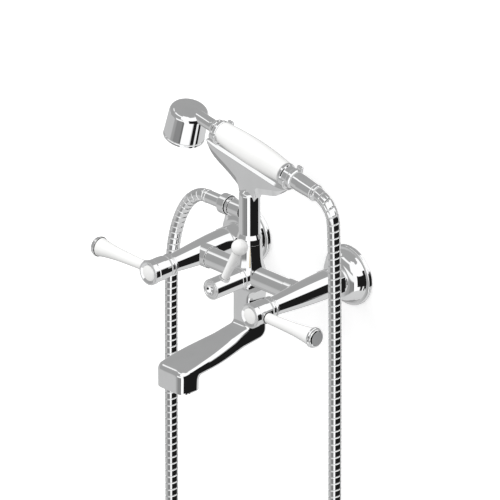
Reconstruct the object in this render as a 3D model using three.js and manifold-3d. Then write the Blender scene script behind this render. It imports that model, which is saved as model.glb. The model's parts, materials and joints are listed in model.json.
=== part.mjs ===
// Wall mounted bath mixer with porcelain levers, a diverter, a fixed spout and a hand shower
// that rests in a cradle above the body. Millimetres. The origin is on the wall face, midway
// between the two wall unions: +X runs along the wall, the mixer stands out along -Y, +Z is up.

import * as THREE from 'three';
import { mergeVertices } from 'three/addons/utils/BufferGeometryUtils.js';
import Module from 'manifold-3d';

const wasm = await Module();
wasm.setup();

// ---------------------------------------------------------------- driving dimensions

const GAP = 0.3;               // clearance between two pieces that touch
const ROUND = 20;              // facets round a large turned piece
const SMALL_ROUND = 14;        // facets round a small turned piece
const INNER_ROUND = 8;         // facets round a hidden pin, rod or screw

// wall side, depths measured out from the wall face
const INLET_SPACING = 150;     // between the two wall unions
const UNION_THREAD_R = 10.3;   // thread that goes into the wall
const UNION_BEHIND = 18;       // length of that thread behind the wall face
const UNION_NECK_R = 11.5;
const UNION_SEAT_R = 13;       // thread that takes the union nut
const UNION_LENGTH = 27.2;     // wall face to the washer seat
const WATERWAY_R = 7.5;
const FLANGE_R = 33.25;
const FLANGE_RIM = 4.4;        // depth of the flat rim
const FLANGE_DEPTH = 20;
const FLANGE_DOME_R = 28.6;
const FLANGE_WALL = 1.6;
const NUT_FLATS = 30;          // across the flats
const NUT_LIP = 3.1;           // thickness of the lip that pulls the valve body in
const WASHER = 1;              // thickness of the inlet washer

// valve bodies
const BODY_DEPTH = 73;         // wall face to the axis of the cross tube
const VALVE_BACK = 35.3;       // depth at which each trumpet shaped valve body starts
const VALVE_FRONT = 115;
const VALVE_BACK_R = 14.8;
const VALVE_FRONT_R = 9.6;
const VALVE_TAIL_R = 11;
const VALVE_TAIL_COLLAR = 2.8; // thickness of the collar that the union nut holds
const CARTRIDGE_BORE_R = 8;
const CARTRIDGE_BACK = 84;
const CARTRIDGE_NOSE_R = 5;
const SPINDLE_R = 3.1;
const COLLAR_LENGTH = 6.7;

// handles
const HUB_R = 12.6;
const HUB_LENGTH = 26.2;
const HUB_RING_R = 13.25;      // raised ring round the index disc
const HUB_RING = 6;            // its width
const INDEX_R = 9;
const INDEX_SEAT = 1.6;
const LEVER_BACK = 11.5;       // from the hub's front face to the lever's axis
const LEVER_START = 16.5;      // hub axis to the porcelain
const LEVER_LENGTH = 65.8;     // length of the porcelain
const LEVER_ROOT_R = 5.6;
const LEVER_TIP_R = 10.2;
const LEVER_CAP = 6.2;         // length of the end cap
const LEVER_CAP_R = 11;
const LEVER_ROD_R = 2;
const SCREW_R = 1.6;
const SCREW_HEAD_R = 4.3;

// cross tube, diverter and riser
const TUBE_R = 11;
const TUBE_BORE_R = 7;
const TUBE_COLLAR_R = TUBE_R + 1.3;
const TUBE_COLLAR = 4.5;       // width of the collar beside each valve body
const BOSS_R = TUBE_R + 1;
const BOSS_LENGTH = 15;        // cross tube axis to the front of the diverter boss
const KNOB_R = 11.25;
const KNOB_LENGTH = 42.3;
const KNOB_CAP_R = 8.8;
const DIVERTER_LEVER_BACK = 15.6;  // from the knob's front face to its lever's axis
const DIVERTER_LEVER_TILT = 25;    // degrees from upright, towards +X
const DIVERTER_LEVER_START = 13.4;
const DIVERTER_BALL_AT = 62;       // diverter axis to the ball's centre
const DIVERTER_BALL_R = 8.8;
const DIVERTER_STEM_R = 4.4;
const RISER_R = 11.35;
const RISER_BASE_TOP = 37;
const RISER_FLARE_R = 15.6;
const RISER_TOP = 96;
const NIPPLE_WALL = 2.2;

// cradle, in the hand shower's own frame: its axis is X
const HANDSET_HEIGHT = 142.3;  // height at which the hand shower's axis crosses the riser
const HANDSET_TILT = 10.5;     // degrees, tail down
const WEB_TOP = 15.4;          // below the hand shower's axis
const WEB_THICKNESS = 12;
const WEB_BEVEL = 2.5;
const FORK_AT = [-43, 61];
const FORK_WIDTH = 8;
const FORK_WALL = 3;
const PRONG_BACK = 8;          // height of the prong nearer the wall above the axis
const PRONG_FRONT = 1;         // height of the prong farther from the wall

// spout
const STEM_WIDTH = 22;
const STEM_DEPTH = 26;
const SPOUT_TOP = TUBE_R + 1.3; // below the cross tube's axis
const SPOUT_DROP = 54;         // cross tube axis down to the top of the arm
const SPOUT_REACH = 105;       // cross tube axis to the outlet axis
const SPOUT_END_WIDTH = 36;
const SPOUT_END_DEPTH = 30;
const SPOUT_BOTTOM = 96;
const SPOUT_SLOPE = 0.155;     // fall of the arm's top for each millimetre forward
const SPOUT_BORE_R = 5.6;
const OUTLET_R = 12;
const OUTLET_DEPTH = 16;
const AERATOR_WALL = 2;

// hose and its fittings
const OUTLET_HEIGHT = 69;      // of the hose outlet on the riser
const OUTLET_STUB_R = 8.75;
const OUTLET_STUB_END = 29;    // riser axis to the nut
const HOSE_NUT_R = 11;
const HOSE_NUT_LENGTH = 10.2;
const HOSE_R = 7;
const SLEEVE_LENGTH = 23.7;
const HOSE_SIDES = 8;
const HOSE_STEPS = 22;         // along each of its two runs
const HOSE_BORE_R = 4.6;

// The hose's centreline, as points across and up in the plane of the cross tube.
const HOSE_FROM_BODY = [
  [-63.9, 69], [-67.5, 68.9], [-75, 66.4], [-82.2, 61.9], [-89.6, 55], [-96.6, 45.2], [-103, 32.8],
  [-108.7, 17], [-113, -2], [-115.8, -26], [-116.9, -58], [-117, -300], [-116.9, -390],
  [-114, -447], [-103, -492], [-81.4, -529], [-42, -560.6], [-15, -570.6], [-4, -572], [4.35, -572],
];
const HOSE_TO_HANDSET = [
  [4.65, -572], [13, -572], [24, -570.6], [51, -560.6], [90.4, -529], [112, -492], [123, -447],
  [126.2, -390], [126.4, -300], [126.4, -120], [126.3, -50], [125.8, 5], [124.9, 50], [124, 80],
  [123.1, 98], [121.6, 105.3], [118.1, 112], [113, 117.6], [106.6, 121.6], [103.1, 123.15],
  [99.6, 123.84],
];

// hand shower, lengths along its axis from the point above the riser
const GRIP_START = -41;
const GRIP_END = 52.3;
const GRIP_END_R = 11.3;
const GRIP_BULGE = 3;
const GRIP_BORE_R = 6.5;
const INNER_TUBE_R = 6.2;
const INNER_TUBE_BORE_R = 4.6;
const NECK_R = 7;
const NECK_RING_R = 11.8;
const TAIL_R = 11.8;
const TAIL_LENGTH = 17;
const CONE_R = 9.4;
const CONE_END_R = 8.6;
const CONE_LENGTH = 31;
const HEAD_R = 22.15;          // at the rim
const HEAD_TOP_R = 20.8;       // where the wall meets the dome
const HEAD_HEIGHT = 38.5;
const HEAD_FILLET = 9;
const HEAD_WALL = 1.8;
const HEAD_LEAN = 4;           // degrees more than square to the handle
const HEAD_AT = -95;           // rim centre along the handle's axis
const HEAD_BELOW = 33.5;       // rim centre below the handle's axis
const PLATE_THICKNESS = 2.4;
const NOZZLE_R = 1.1;
const NOZZLE_RINGS = [[7, 6], [14, 12]];  // radius of each ring and its number of holes

// ---------------------------------------------------------------- finishes

const finish = (color, roughness, metalness) =>
  new THREE.MeshStandardMaterial({ color, roughness, metalness });
const chrome = finish(0xd9dbdc, 0.08, 1);
const porcelain = finish(0xf7f7f5, 0.12, 0);
const steel = finish(0xb9bcbf, 0.3, 1);
const brass = finish(0xc9a45c, 0.35, 1);
const rubber = finish(0x1c1c1d, 0.85, 0);
const plastic = finish(0x9a9da0, 0.5, 0);

// ---------------------------------------------------------------- solids

// A closed three.js geometry as a manifold solid, with its faces pointing out.
function solid(geometry) {
  const bare = geometry.index ? geometry.toNonIndexed() : geometry.clone();
  bare.deleteAttribute('normal');
  bare.deleteAttribute('uv');
  const merged = mergeVertices(bare, 1e-4);
  const triVerts = new Uint32Array(merged.index.array);
  const vertProperties = new Float32Array(merged.attributes.position.array);
  const made = new wasm.Manifold(new wasm.Mesh({ numProp: 3, vertProperties, triVerts }));
  if (made.volume() > 0) return made;
  for (let i = 0; i < triVerts.length; i += 3) {
    [triVerts[i], triVerts[i + 1]] = [triVerts[i + 1], triVerts[i]];
  }
  return new wasm.Manifold(new wasm.Mesh({ numProp: 3, vertProperties, triVerts }));
}

// A manifold solid as a named three.js mesh.
function piece(name, shape, material) {
  const { vertProperties, triVerts } = shape.getMesh();
  const geometry = new THREE.BufferGeometry();
  geometry.setAttribute('position', new THREE.BufferAttribute(vertProperties, 3));
  geometry.setIndex(new THREE.BufferAttribute(triVerts, 1));
  geometry.computeVertexNormals();
  const mesh = new THREE.Mesh(geometry, material);
  mesh.name = name;
  return mesh;
}

// A turned solid. The profile is a list of [radius, distance along the axis]; one that
// doesn't start and end on the axis is a ring, and closes on itself.
function turned(profile, facets = ROUND) {
  const points = profile.map(([r, along]) => new THREE.Vector2(r, along));
  if (profile[0][0] > 0) points.push(points[0].clone());
  return new THREE.LatheGeometry(points, facets);
}

// The same with its axis along -Y, +X or +Z.
const outward = (profile, facets) => solid(turned(profile, facets).rotateZ(Math.PI));
const sideways = (profile, facets) => solid(turned(profile, facets).rotateZ(-Math.PI / 2));
const upright = (profile, facets) => solid(turned(profile, facets).rotateX(Math.PI / 2));

// A plain rod's profile between two distances along its axis.
const rod = (r, from, to) => [[0, from], [r, from], [r, to], [0, to]];

// A plain ring's profile.
const ring = (inner, outer, from, to) =>
  [[inner, from], [outer, from], [outer, to], [inner, to]];

// An outline in X and Y pushed up along Z from 0.
function extruded(points, height) {
  const shape = new THREE.Shape(points.map(([x, y]) => new THREE.Vector2(x, y)));
  return new THREE.ExtrudeGeometry(shape, { depth: height, bevelEnabled: false });
}

function group(...members) {
  const made = new THREE.Group();
  made.add(...members);
  return made;
}

// ---------------------------------------------------------------- wall side

const NUT_BACK = FLANGE_DEPTH + GAP;
const NUT_FRONT = VALVE_BACK - GAP;
const TAIL_START = UNION_LENGTH + WASHER + 2 * GAP;
const TAIL_COLLAR_R = UNION_SEAT_R - 0.1;

function wallUnion(name) {
  const shoulder = FLANGE_DEPTH * 0.6;
  return piece(name, outward([
    [WATERWAY_R, -UNION_BEHIND], [UNION_THREAD_R, -UNION_BEHIND], [UNION_THREAD_R, 0],
    [UNION_NECK_R, 0], [UNION_NECK_R, shoulder], [UNION_SEAT_R, shoulder + 1],
    [UNION_SEAT_R, UNION_LENGTH], [WATERWAY_R, UNION_LENGTH],
  ], SMALL_ROUND), brass);
}

// A bell: a flat rim, a quarter ellipse dome and a short neck behind the nut.
function wallFlange(name) {
  const neck = UNION_SEAT_R + GAP + 0.6;
  const neckOut = neck + FLANGE_WALL;
  const domeTop = FLANGE_DEPTH - 2;
  const turns = [0, 0.35, 0.7, 1].map((t) => t * Math.PI / 2);
  const dome = (r, low, high) => turns.map((t) => [
    neckOut + (r - neckOut) * Math.cos(t), low + (high - low) * Math.sin(t)]);
  const outside = dome(FLANGE_DOME_R, FLANGE_RIM, domeTop);
  const inside = turns.map((t) => [
    neck + (FLANGE_DOME_R - FLANGE_WALL - neck) * Math.cos(t),
    FLANGE_RIM - FLANGE_WALL + (domeTop - FLANGE_RIM) * Math.sin(t)]).reverse();
  return piece(name, outward([
    [FLANGE_R - 2.4, 0], [FLANGE_R, 0], [FLANGE_R, FLANGE_RIM / 2],
    [FLANGE_R - 1.3, FLANGE_RIM - 0.4], [FLANGE_R - 3.4, FLANGE_RIM],
    ...outside, [neckOut, FLANGE_DEPTH], [neck, FLANGE_DEPTH], ...inside,
  ]), chrome);
}

// A hexagon with turned corners, bored for the union's thread and for the valve's tail.
function unionNut(name) {
  const corner = NUT_FLATS / 2 / Math.cos(Math.PI / 6);
  const points = [...Array(6).keys()].map((i) => {
    const a = i * Math.PI / 3;
    return [corner * Math.cos(a), corner * Math.sin(a)];
  });
  const length = NUT_FRONT - NUT_BACK;
  const hexagon = solid(extruded(points, length).rotateX(Math.PI / 2).translate(0, -NUT_BACK, 0));
  const chamfer = 1.2;
  const corners = outward([
    [0, NUT_BACK], [corner - chamfer, NUT_BACK], [corner, NUT_BACK + chamfer],
    [corner, NUT_FRONT - chamfer], [corner - chamfer, NUT_FRONT], [0, NUT_FRONT],
  ]);
  const lip = NUT_FRONT - NUT_LIP;
  const bore = outward([
    [0, NUT_BACK - 1], [UNION_SEAT_R + GAP, NUT_BACK - 1], [UNION_SEAT_R + GAP, lip],
    [VALVE_TAIL_R + GAP, lip], [VALVE_TAIL_R + GAP, NUT_FRONT + 1], [0, NUT_FRONT + 1],
  ], SMALL_ROUND);
  return piece(name, hexagon.intersect(corners).subtract(bore), chrome);
}

function inletWasher(name) {
  const back = UNION_LENGTH + GAP;
  return piece(name,
    outward(ring(WATERWAY_R + 0.5, UNION_SEAT_R - 0.4, back, back + WASHER), SMALL_ROUND), rubber);
}

// ---------------------------------------------------------------- valve bodies

// The trumpet's outside, made wider all over by extra, as [radius, depth] from back to front.
function trumpet(extra = 0) {
  const length = VALVE_FRONT - VALVE_BACK;
  const fall = VALVE_BACK_R - VALVE_FRONT_R;
  return [0, 0.4, 0.7, 1].map((t) => {
    const share = t * t * (1.7 - 0.7 * t);
    return [VALVE_BACK_R - fall * share + extra, VALVE_BACK + length * t];
  });
}

const trumpetSolid = (extra) =>
  outward([[0, VALVE_BACK - extra], ...trumpet(extra), [0, VALVE_FRONT]]);

// towards is the side of the valve body on which the cross tube opens, 1 for +X.
function valveBody(name, towards) {
  const collarEnd = TAIL_START + VALVE_TAIL_COLLAR;
  const outside = outward([
    [0, TAIL_START], [TAIL_COLLAR_R, TAIL_START], [TAIL_COLLAR_R, collarEnd],
    [VALVE_TAIL_R, collarEnd], [VALVE_TAIL_R, VALVE_BACK], ...trumpet(), [0, VALVE_FRONT],
  ]);
  const chamber = CARTRIDGE_BACK - 26;
  const bore = outward([
    [0, TAIL_START - 1], [WATERWAY_R, TAIL_START - 1], [WATERWAY_R, chamber],
    [CARTRIDGE_BORE_R, chamber + 1], [CARTRIDGE_BORE_R, VALVE_FRONT + 1], [0, VALVE_FRONT + 1],
  ], SMALL_ROUND);
  const port = sideways(rod(TUBE_BORE_R, 0, VALVE_BACK_R + 2), SMALL_ROUND)
    .rotate([0, towards > 0 ? 0 : 180, 0]).translate([0, -BODY_DEPTH, 0]);
  return piece(name, outside.subtract(bore).subtract(port), chrome);
}

function valveCartridge(name) {
  const r = CARTRIDGE_BORE_R - GAP;
  const nose = VALVE_FRONT + COLLAR_LENGTH - 1;
  const blind = CARTRIDGE_BACK + 12;
  return piece(name, outward([
    [0, CARTRIDGE_BACK], [r - 1.5, CARTRIDGE_BACK], [r - 1.5, CARTRIDGE_BACK + 5],
    [r, CARTRIDGE_BACK + 5], [r, VALVE_FRONT - GAP], [CARTRIDGE_NOSE_R, VALVE_FRONT - GAP],
    [CARTRIDGE_NOSE_R, nose], [SPINDLE_R + GAP, nose], [SPINDLE_R + GAP, blind], [0, blind],
  ], SMALL_ROUND), brass);
}

const HUB_BACK = VALVE_FRONT + GAP + COLLAR_LENGTH + GAP;
const HUB_FRONT = HUB_BACK + HUB_LENGTH;
const HUB_WEB = HUB_FRONT - 8.9;    // depth of the web that the handle screw pulls on
const HUB_WEB_THICKNESS = 2.7;

// A stepped bonnet ring over the cartridge's nose.
function valveCollar(name) {
  const back = VALVE_FRONT + GAP;
  const inner = CARTRIDGE_NOSE_R + GAP;
  return piece(name, outward([
    [inner, back], [HUB_R - 0.6, back], [HUB_R - 0.6, back + 1.8], [HUB_R - 2, back + 2.4],
    [HUB_R - 2, back + 3.8], [HUB_R - 1.2, back + 4.3], [HUB_R - 1.2, back + COLLAR_LENGTH],
    [inner, back + COLLAR_LENGTH],
  ]), chrome);
}

function valveSpindle(name) {
  const back = CARTRIDGE_BACK + 12 + GAP;
  const front = HUB_WEB - GAP;
  return piece(name, outward([
    [0, back], [SPINDLE_R, back], [SPINDLE_R, front], [SCREW_R + GAP, front],
    [SCREW_R + GAP, front - 11], [0, front - 11],
  ], INNER_ROUND), brass);
}

// ---------------------------------------------------------------- handles, levers along +X

const LEVER_DEPTH = HUB_FRONT - LEVER_BACK;
const LEVER_END = LEVER_START + LEVER_LENGTH;

// A drum with a raised front ring, a side boss for the lever, and bores for spindle and screw.
function handleHub(name) {
  const ringBack = HUB_FRONT - HUB_RING;
  const drum = outward([
    [0, HUB_BACK], [HUB_R - 1.8, HUB_BACK], [HUB_R - 0.3, HUB_BACK + 2], [HUB_R, HUB_BACK + 8],
    [HUB_R, ringBack - 1.6], [HUB_R - 0.8, ringBack - 1], [HUB_R - 0.8, ringBack - 0.5],
    [HUB_RING_R, ringBack], [HUB_RING_R, HUB_FRONT - 1], [HUB_RING_R - 0.9, HUB_FRONT],
    [0, HUB_FRONT],
  ]);
  const bossEnd = LEVER_START - GAP;
  const boss = sideways([
    [0, 6], [LEVER_ROOT_R - 0.2, 6], [LEVER_ROOT_R - 0.2, bossEnd - 2.2],
    [LEVER_ROOT_R + 1, bossEnd - 1.8], [LEVER_ROOT_R + 1, bossEnd - 0.5],
    [LEVER_ROOT_R, bossEnd], [0, bossEnd],
  ], SMALL_ROUND).translate([0, -LEVER_DEPTH, 0]);
  const rodHole = sideways(rod(LEVER_ROD_R + GAP, 8.5, LEVER_START + 1), INNER_ROUND)
    .translate([0, -LEVER_DEPTH, 0]);
  const seat = outward(rod(INDEX_R + GAP, HUB_FRONT - INDEX_SEAT, HUB_FRONT + 1));
  const web = HUB_WEB + HUB_WEB_THICKNESS;
  const screwWell = outward(rod(SCREW_HEAD_R + 0.6, web, HUB_FRONT), SMALL_ROUND);
  const screwHole = outward(rod(SCREW_R + GAP, HUB_WEB - 1, web + 1), INNER_ROUND);
  const spindleHole = outward(rod(SPINDLE_R + GAP, HUB_BACK - 1, HUB_WEB), INNER_ROUND);
  const shape = drum.add(boss).subtract(rodHole).subtract(seat).subtract(screwWell)
    .subtract(screwHole).subtract(spindleHole);
  return piece(name, shape, chrome);
}

function indexDisc(name) {
  const back = HUB_FRONT - INDEX_SEAT + GAP;
  return piece(name, outward([
    [0, back], [INDEX_R, back], [INDEX_R, HUB_FRONT - 0.3], [INDEX_R - 1.5, HUB_FRONT + 0.3],
    [INDEX_R / 2, HUB_FRONT + 0.6], [0, HUB_FRONT + 0.7],
  ]), porcelain);
}

function handleScrew(name) {
  const seat = HUB_WEB + HUB_WEB_THICKNESS + GAP;
  const shank = HUB_WEB - 8;
  return piece(name, outward([
    [0, shank], [SCREW_R, shank], [SCREW_R, seat], [SCREW_HEAD_R, seat],
    [SCREW_HEAD_R, seat + 2.6], [0, seat + 3.2],
  ], INNER_ROUND), steel);
}

function leverRod(name) {
  const shape = sideways(rod(LEVER_ROD_R, 8.5 + GAP, LEVER_END + 3), INNER_ROUND);
  return piece(name, shape.translate([0, -LEVER_DEPTH, 0]), steel);
}

// A slim handle that swells slowly and flares at its end.
function leverGrip(name) {
  const outline = [0, 0.4, 0.7, 0.88, 1].map((t) => {
    const swell = 0.35 * t + 0.65 * t ** 4;
    return [LEVER_ROOT_R + (LEVER_TIP_R - LEVER_ROOT_R) * swell, LEVER_START + LEVER_LENGTH * t];
  });
  const inner = LEVER_ROD_R + GAP;
  const shape = sideways([[inner, LEVER_START], ...outline, [inner, LEVER_END]], SMALL_ROUND);
  return piece(name, shape.translate([0, -LEVER_DEPTH, 0]), porcelain);
}

function leverCap(name) {
  const back = LEVER_END + GAP;
  const blind = LEVER_END + 3 + GAP;
  const front = back + LEVER_CAP;
  const shape = sideways([
    [0, blind], [LEVER_ROD_R + GAP, blind], [LEVER_ROD_R + GAP, back], [LEVER_CAP_R - 0.4, back],
    [LEVER_CAP_R, back + 0.6], [LEVER_CAP_R, back + 1.9], [LEVER_CAP_R - 0.9, back + 2.7],
    [LEVER_CAP_R - 1.3, front - 1.6], [LEVER_CAP_R - 2.8, front - 0.5], [LEVER_CAP_R - 6, front],
    [0, front],
  ], SMALL_ROUND);
  return piece(name, shape.translate([0, -LEVER_DEPTH, 0]), chrome);
}

// One inlet with everything on it. side is -1 for the left one, whose lever points along -X.
function inlet(side) {
  const tag = side < 0 ? 'left' : 'right';
  const fixed = group(
    wallUnion(`wall_union_${tag}`), wallFlange(`wall_flange_${tag}`),
    unionNut(`union_nut_${tag}`), inletWasher(`inlet_washer_${tag}`),
    valveBody(`valve_body_${tag}`, -side), valveCartridge(`valve_cartridge_${tag}`),
    valveCollar(`valve_collar_${tag}`));
  const handle = group(
    valveSpindle(`valve_spindle_${tag}`), handleHub(`handle_hub_${tag}`),
    indexDisc(`index_disc_${tag}`), handleScrew(`handle_screw_${tag}`),
    leverRod(`lever_rod_${tag}`), leverGrip(`lever_grip_${tag}`), leverCap(`lever_cap_${tag}`));
  handle.rotation.y = side < 0 ? Math.PI : 0;
  const both = group(fixed, handle);
  both.position.x = side * INLET_SPACING / 2;
  return both;
}

// ---------------------------------------------------------------- centre body

const BOSS_FRONT = BODY_DEPTH + BOSS_LENGTH;
const STEM_TOP = SPOUT_TOP - GAP;

// A rectangle with rounded corners about the origin, anticlockwise.
function roundedRectangle(width, depth, r) {
  const corners = [[1, 1, 0], [-1, 1, 90], [-1, -1, 180], [1, -1, 270]];
  return corners.flatMap(([sx, sy, start]) => [0, 30, 60, 90].map((step) => {
    const a = THREE.MathUtils.degToRad(start + step);
    return [
      sx * (width / 2 - r) + r * Math.cos(a),
      sy * (depth / 2 - r) + r * Math.sin(a),
    ];
  }));
}

// The outside of the cross tube with its collars, diverter boss and spout pad.
function centreOutside(extra) {
  const half = INLET_SPACING / 2;
  const collar = half - VALVE_BACK_R + 0.6;
  const tube = sideways(rod(TUBE_R + extra, -half, half));
  const collars = [-1, 1].map((side) => sideways([
    [0, 0], [TUBE_COLLAR_R + extra, 0], [TUBE_COLLAR_R + extra, TUBE_COLLAR + 4],
    [0, TUBE_COLLAR + 4],
  ]).translate([side > 0 ? collar - TUBE_COLLAR : -collar - 4, 0, 0]));
  const boss = outward(rod(BOSS_R + extra, 0, BOSS_LENGTH));
  const pad = solid(extruded(roundedRectangle(STEM_WIDTH, STEM_DEPTH, 3), STEM_TOP)
    .translate(0, 0, -STEM_TOP));
  return tube.add(collars[0]).add(collars[1]).add(boss).add(pad).translate([0, -BODY_DEPTH, 0]);
}

function centreBody() {
  const half = INLET_SPACING / 2;
  const waterway = sideways(rod(TUBE_BORE_R, -half, half), SMALL_ROUND);
  const diverterBore = outward(rod(CARTRIDGE_BORE_R, -7, BOSS_LENGTH + 1), SMALL_ROUND);
  const riserPort = upright(rod(WATERWAY_R, 0, TUBE_R + 2), SMALL_ROUND);
  const spoutPort = upright(rod(WATERWAY_R, -SPOUT_TOP - 1, 0), SMALL_ROUND);
  let shape = centreOutside(0);
  for (const cut of [waterway, diverterBore, riserPort, spoutPort]) {
    shape = shape.subtract(cut.translate([0, -BODY_DEPTH, 0]));
  }
  for (const side of [-1, 1]) {
    shape = shape.subtract(trumpetSolid(GAP).translate([side * half, 0, 0]));
  }
  return piece('centre_body', shape, chrome);
}

// ---------------------------------------------------------------- diverter

const KNOB_BACK = BOSS_FRONT + GAP;
const KNOB_FRONT = KNOB_BACK + KNOB_LENGTH;
const DIVERTER_BACK = BODY_DEPTH - 6.7;
const DIVERTER_LEVER_DEPTH = KNOB_FRONT - DIVERTER_LEVER_BACK;

function diverterCartridge() {
  const r = CARTRIDGE_BORE_R - GAP;
  const nose = KNOB_BACK + 4;
  const blind = DIVERTER_BACK + 8;
  return piece('diverter_cartridge', outward([
    [0, DIVERTER_BACK], [r, DIVERTER_BACK], [r, BOSS_FRONT - GAP],
    [CARTRIDGE_NOSE_R, BOSS_FRONT - GAP], [CARTRIDGE_NOSE_R, nose], [SPINDLE_R + GAP, nose],
    [SPINDLE_R + GAP, blind], [0, blind],
  ], SMALL_ROUND), brass);
}

function diverterSpindle() {
  const back = DIVERTER_BACK + 8 + GAP;
  return piece('diverter_spindle', outward(rod(SPINDLE_R, back, KNOB_BACK + 20), INNER_ROUND), brass);
}

// A plain cylinder with a rounded front edge, a seat for its end cap and a socket for the lever.
function diverterKnob() {
  const outside = outward([
    [0, KNOB_BACK], [KNOB_R - 0.5, KNOB_BACK], [KNOB_R, KNOB_BACK + 0.6], [KNOB_R, KNOB_FRONT - 2],
    [KNOB_R - 0.7, KNOB_FRONT - 0.6], [KNOB_R - 2, KNOB_FRONT], [0, KNOB_FRONT],
  ]);
  const spindleHole = outward(rod(SPINDLE_R + GAP, KNOB_BACK - 1, KNOB_BACK + 20 + GAP), INNER_ROUND);
  const noseRoom = outward(rod(CARTRIDGE_NOSE_R + GAP, KNOB_BACK - 1, KNOB_BACK + 4 + GAP), SMALL_ROUND);
  const seat = outward(rod(KNOB_CAP_R + GAP, KNOB_FRONT - 1.5, KNOB_FRONT + 1));
  const socket = upright(rod(DIVERTER_STEM_R - 1.4 + GAP, KNOB_R - 4.5, KNOB_R + 2), INNER_ROUND)
    .rotate([0, DIVERTER_LEVER_TILT, 0]).translate([0, -DIVERTER_LEVER_DEPTH, 0]);
  const shape = outside.subtract(spindleHole).subtract(noseRoom).subtract(seat).subtract(socket);
  return piece('diverter_knob', shape, chrome);
}

function diverterCap() {
  const back = KNOB_FRONT - 1.5 + GAP;
  return piece('diverter_cap', outward([
    [0, back], [KNOB_CAP_R, back], [KNOB_CAP_R, KNOB_FRONT - 0.3], [KNOB_CAP_R - 1, KNOB_FRONT],
    [KNOB_CAP_R - 2.6, KNOB_FRONT], [KNOB_CAP_R - 3, KNOB_FRONT - 0.5], [0, KNOB_FRONT - 0.5],
  ]), chrome);
}

// The ring at the foot of the diverter's lever, hollow for the lever's shank.
function diverterLeverRing() {
  const inner = DIVERTER_STEM_R - 1.4 + GAP;
  const cut = outward(rod(KNOB_R + GAP, KNOB_BACK, KNOB_FRONT));
  const shape = upright(ring(inner, DIVERTER_STEM_R + 1.2, KNOB_R - 1, DIVERTER_LEVER_START - GAP),
    SMALL_ROUND).rotate([0, DIVERTER_LEVER_TILT, 0]).translate([0, -DIVERTER_LEVER_DEPTH, 0]);
  return piece('diverter_lever_ring', shape.subtract(cut), chrome);
}

// A tapered porcelain stem with a ball on its end and a shank that plugs into the knob.
function diverterLever() {
  const shank = DIVERTER_STEM_R - 1.4;
  const neck = DIVERTER_STEM_R + 1.2;
  const foot = DIVERTER_BALL_AT - Math.sqrt(DIVERTER_BALL_R ** 2 - neck ** 2);
  const start = Math.asin(neck / DIVERTER_BALL_R);
  const ball = [0.25, 0.5, 0.75].map((t) => {
    const a = start + (Math.PI - start) * t;
    return [DIVERTER_BALL_R * Math.sin(a), DIVERTER_BALL_AT - DIVERTER_BALL_R * Math.cos(a)];
  });
  const shape = upright([
    [0, KNOB_R - 4], [shank, KNOB_R - 4], [shank, DIVERTER_LEVER_START],
    [DIVERTER_STEM_R, DIVERTER_LEVER_START], [neck, foot], ...ball,
    [0, DIVERTER_BALL_AT + DIVERTER_BALL_R],
  ], SMALL_ROUND).rotate([0, DIVERTER_LEVER_TILT, 0]).translate([0, -DIVERTER_LEVER_DEPTH, 0]);
  return piece('diverter_lever', shape, porcelain);
}

// ---------------------------------------------------------------- spout

// The spout from the side, as points [forward, up] from the cross tube's axis.
function spoutSide() {
  const top = (forward) => -SPOUT_DROP - SPOUT_SLOPE * (forward - STEM_DEPTH / 2);
  const front = SPOUT_REACH + SPOUT_END_DEPTH / 2;
  const back = SPOUT_REACH - SPOUT_END_DEPTH / 2;
  const heel = SPOUT_DROP + 19;
  return [
    [-STEM_DEPTH / 2, -SPOUT_TOP], [-STEM_DEPTH / 2, -heel + 9], [-STEM_DEPTH / 2 + 2.6, -heel + 2.6],
    [-STEM_DEPTH / 2 + 9, -heel], [back - 8, -heel - 8], [back - 2, -heel - 11], [back, -heel - 16],
    [back, -SPOUT_BOTTOM], [front, -SPOUT_BOTTOM], [front, top(front) - 6],
    [front - 2.2, top(front) - 1.8], [front - 7, top(front - 7)],
    [STEM_DEPTH / 2 + 5, top(STEM_DEPTH / 2 + 5)], [STEM_DEPTH / 2 + 1.4, -SPOUT_DROP + 1.4],
    [STEM_DEPTH / 2, -SPOUT_DROP + 5], [STEM_DEPTH / 2, -SPOUT_TOP],
  ];
}

// The spout from above, as points [forward, across]: it widens towards the outlet.
function spoutPlan() {
  const front = SPOUT_REACH + SPOUT_END_DEPTH / 2;
  const back = SPOUT_REACH - SPOUT_END_DEPTH / 2;
  const stem = STEM_WIDTH / 2;
  const end = SPOUT_END_WIDTH / 2;
  const half = [
    [-STEM_DEPTH / 2, stem - 4], [-STEM_DEPTH / 2 + 4, stem], [STEM_DEPTH / 2 + 8, stem],
    [back - 16, stem + (end - stem) * 0.72], [back + 3, end], [front - 5, end], [front, end - 5],
  ];
  return [...half, ...half.map(([forward, across]) => [forward, -across]).reverse()];
}

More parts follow.
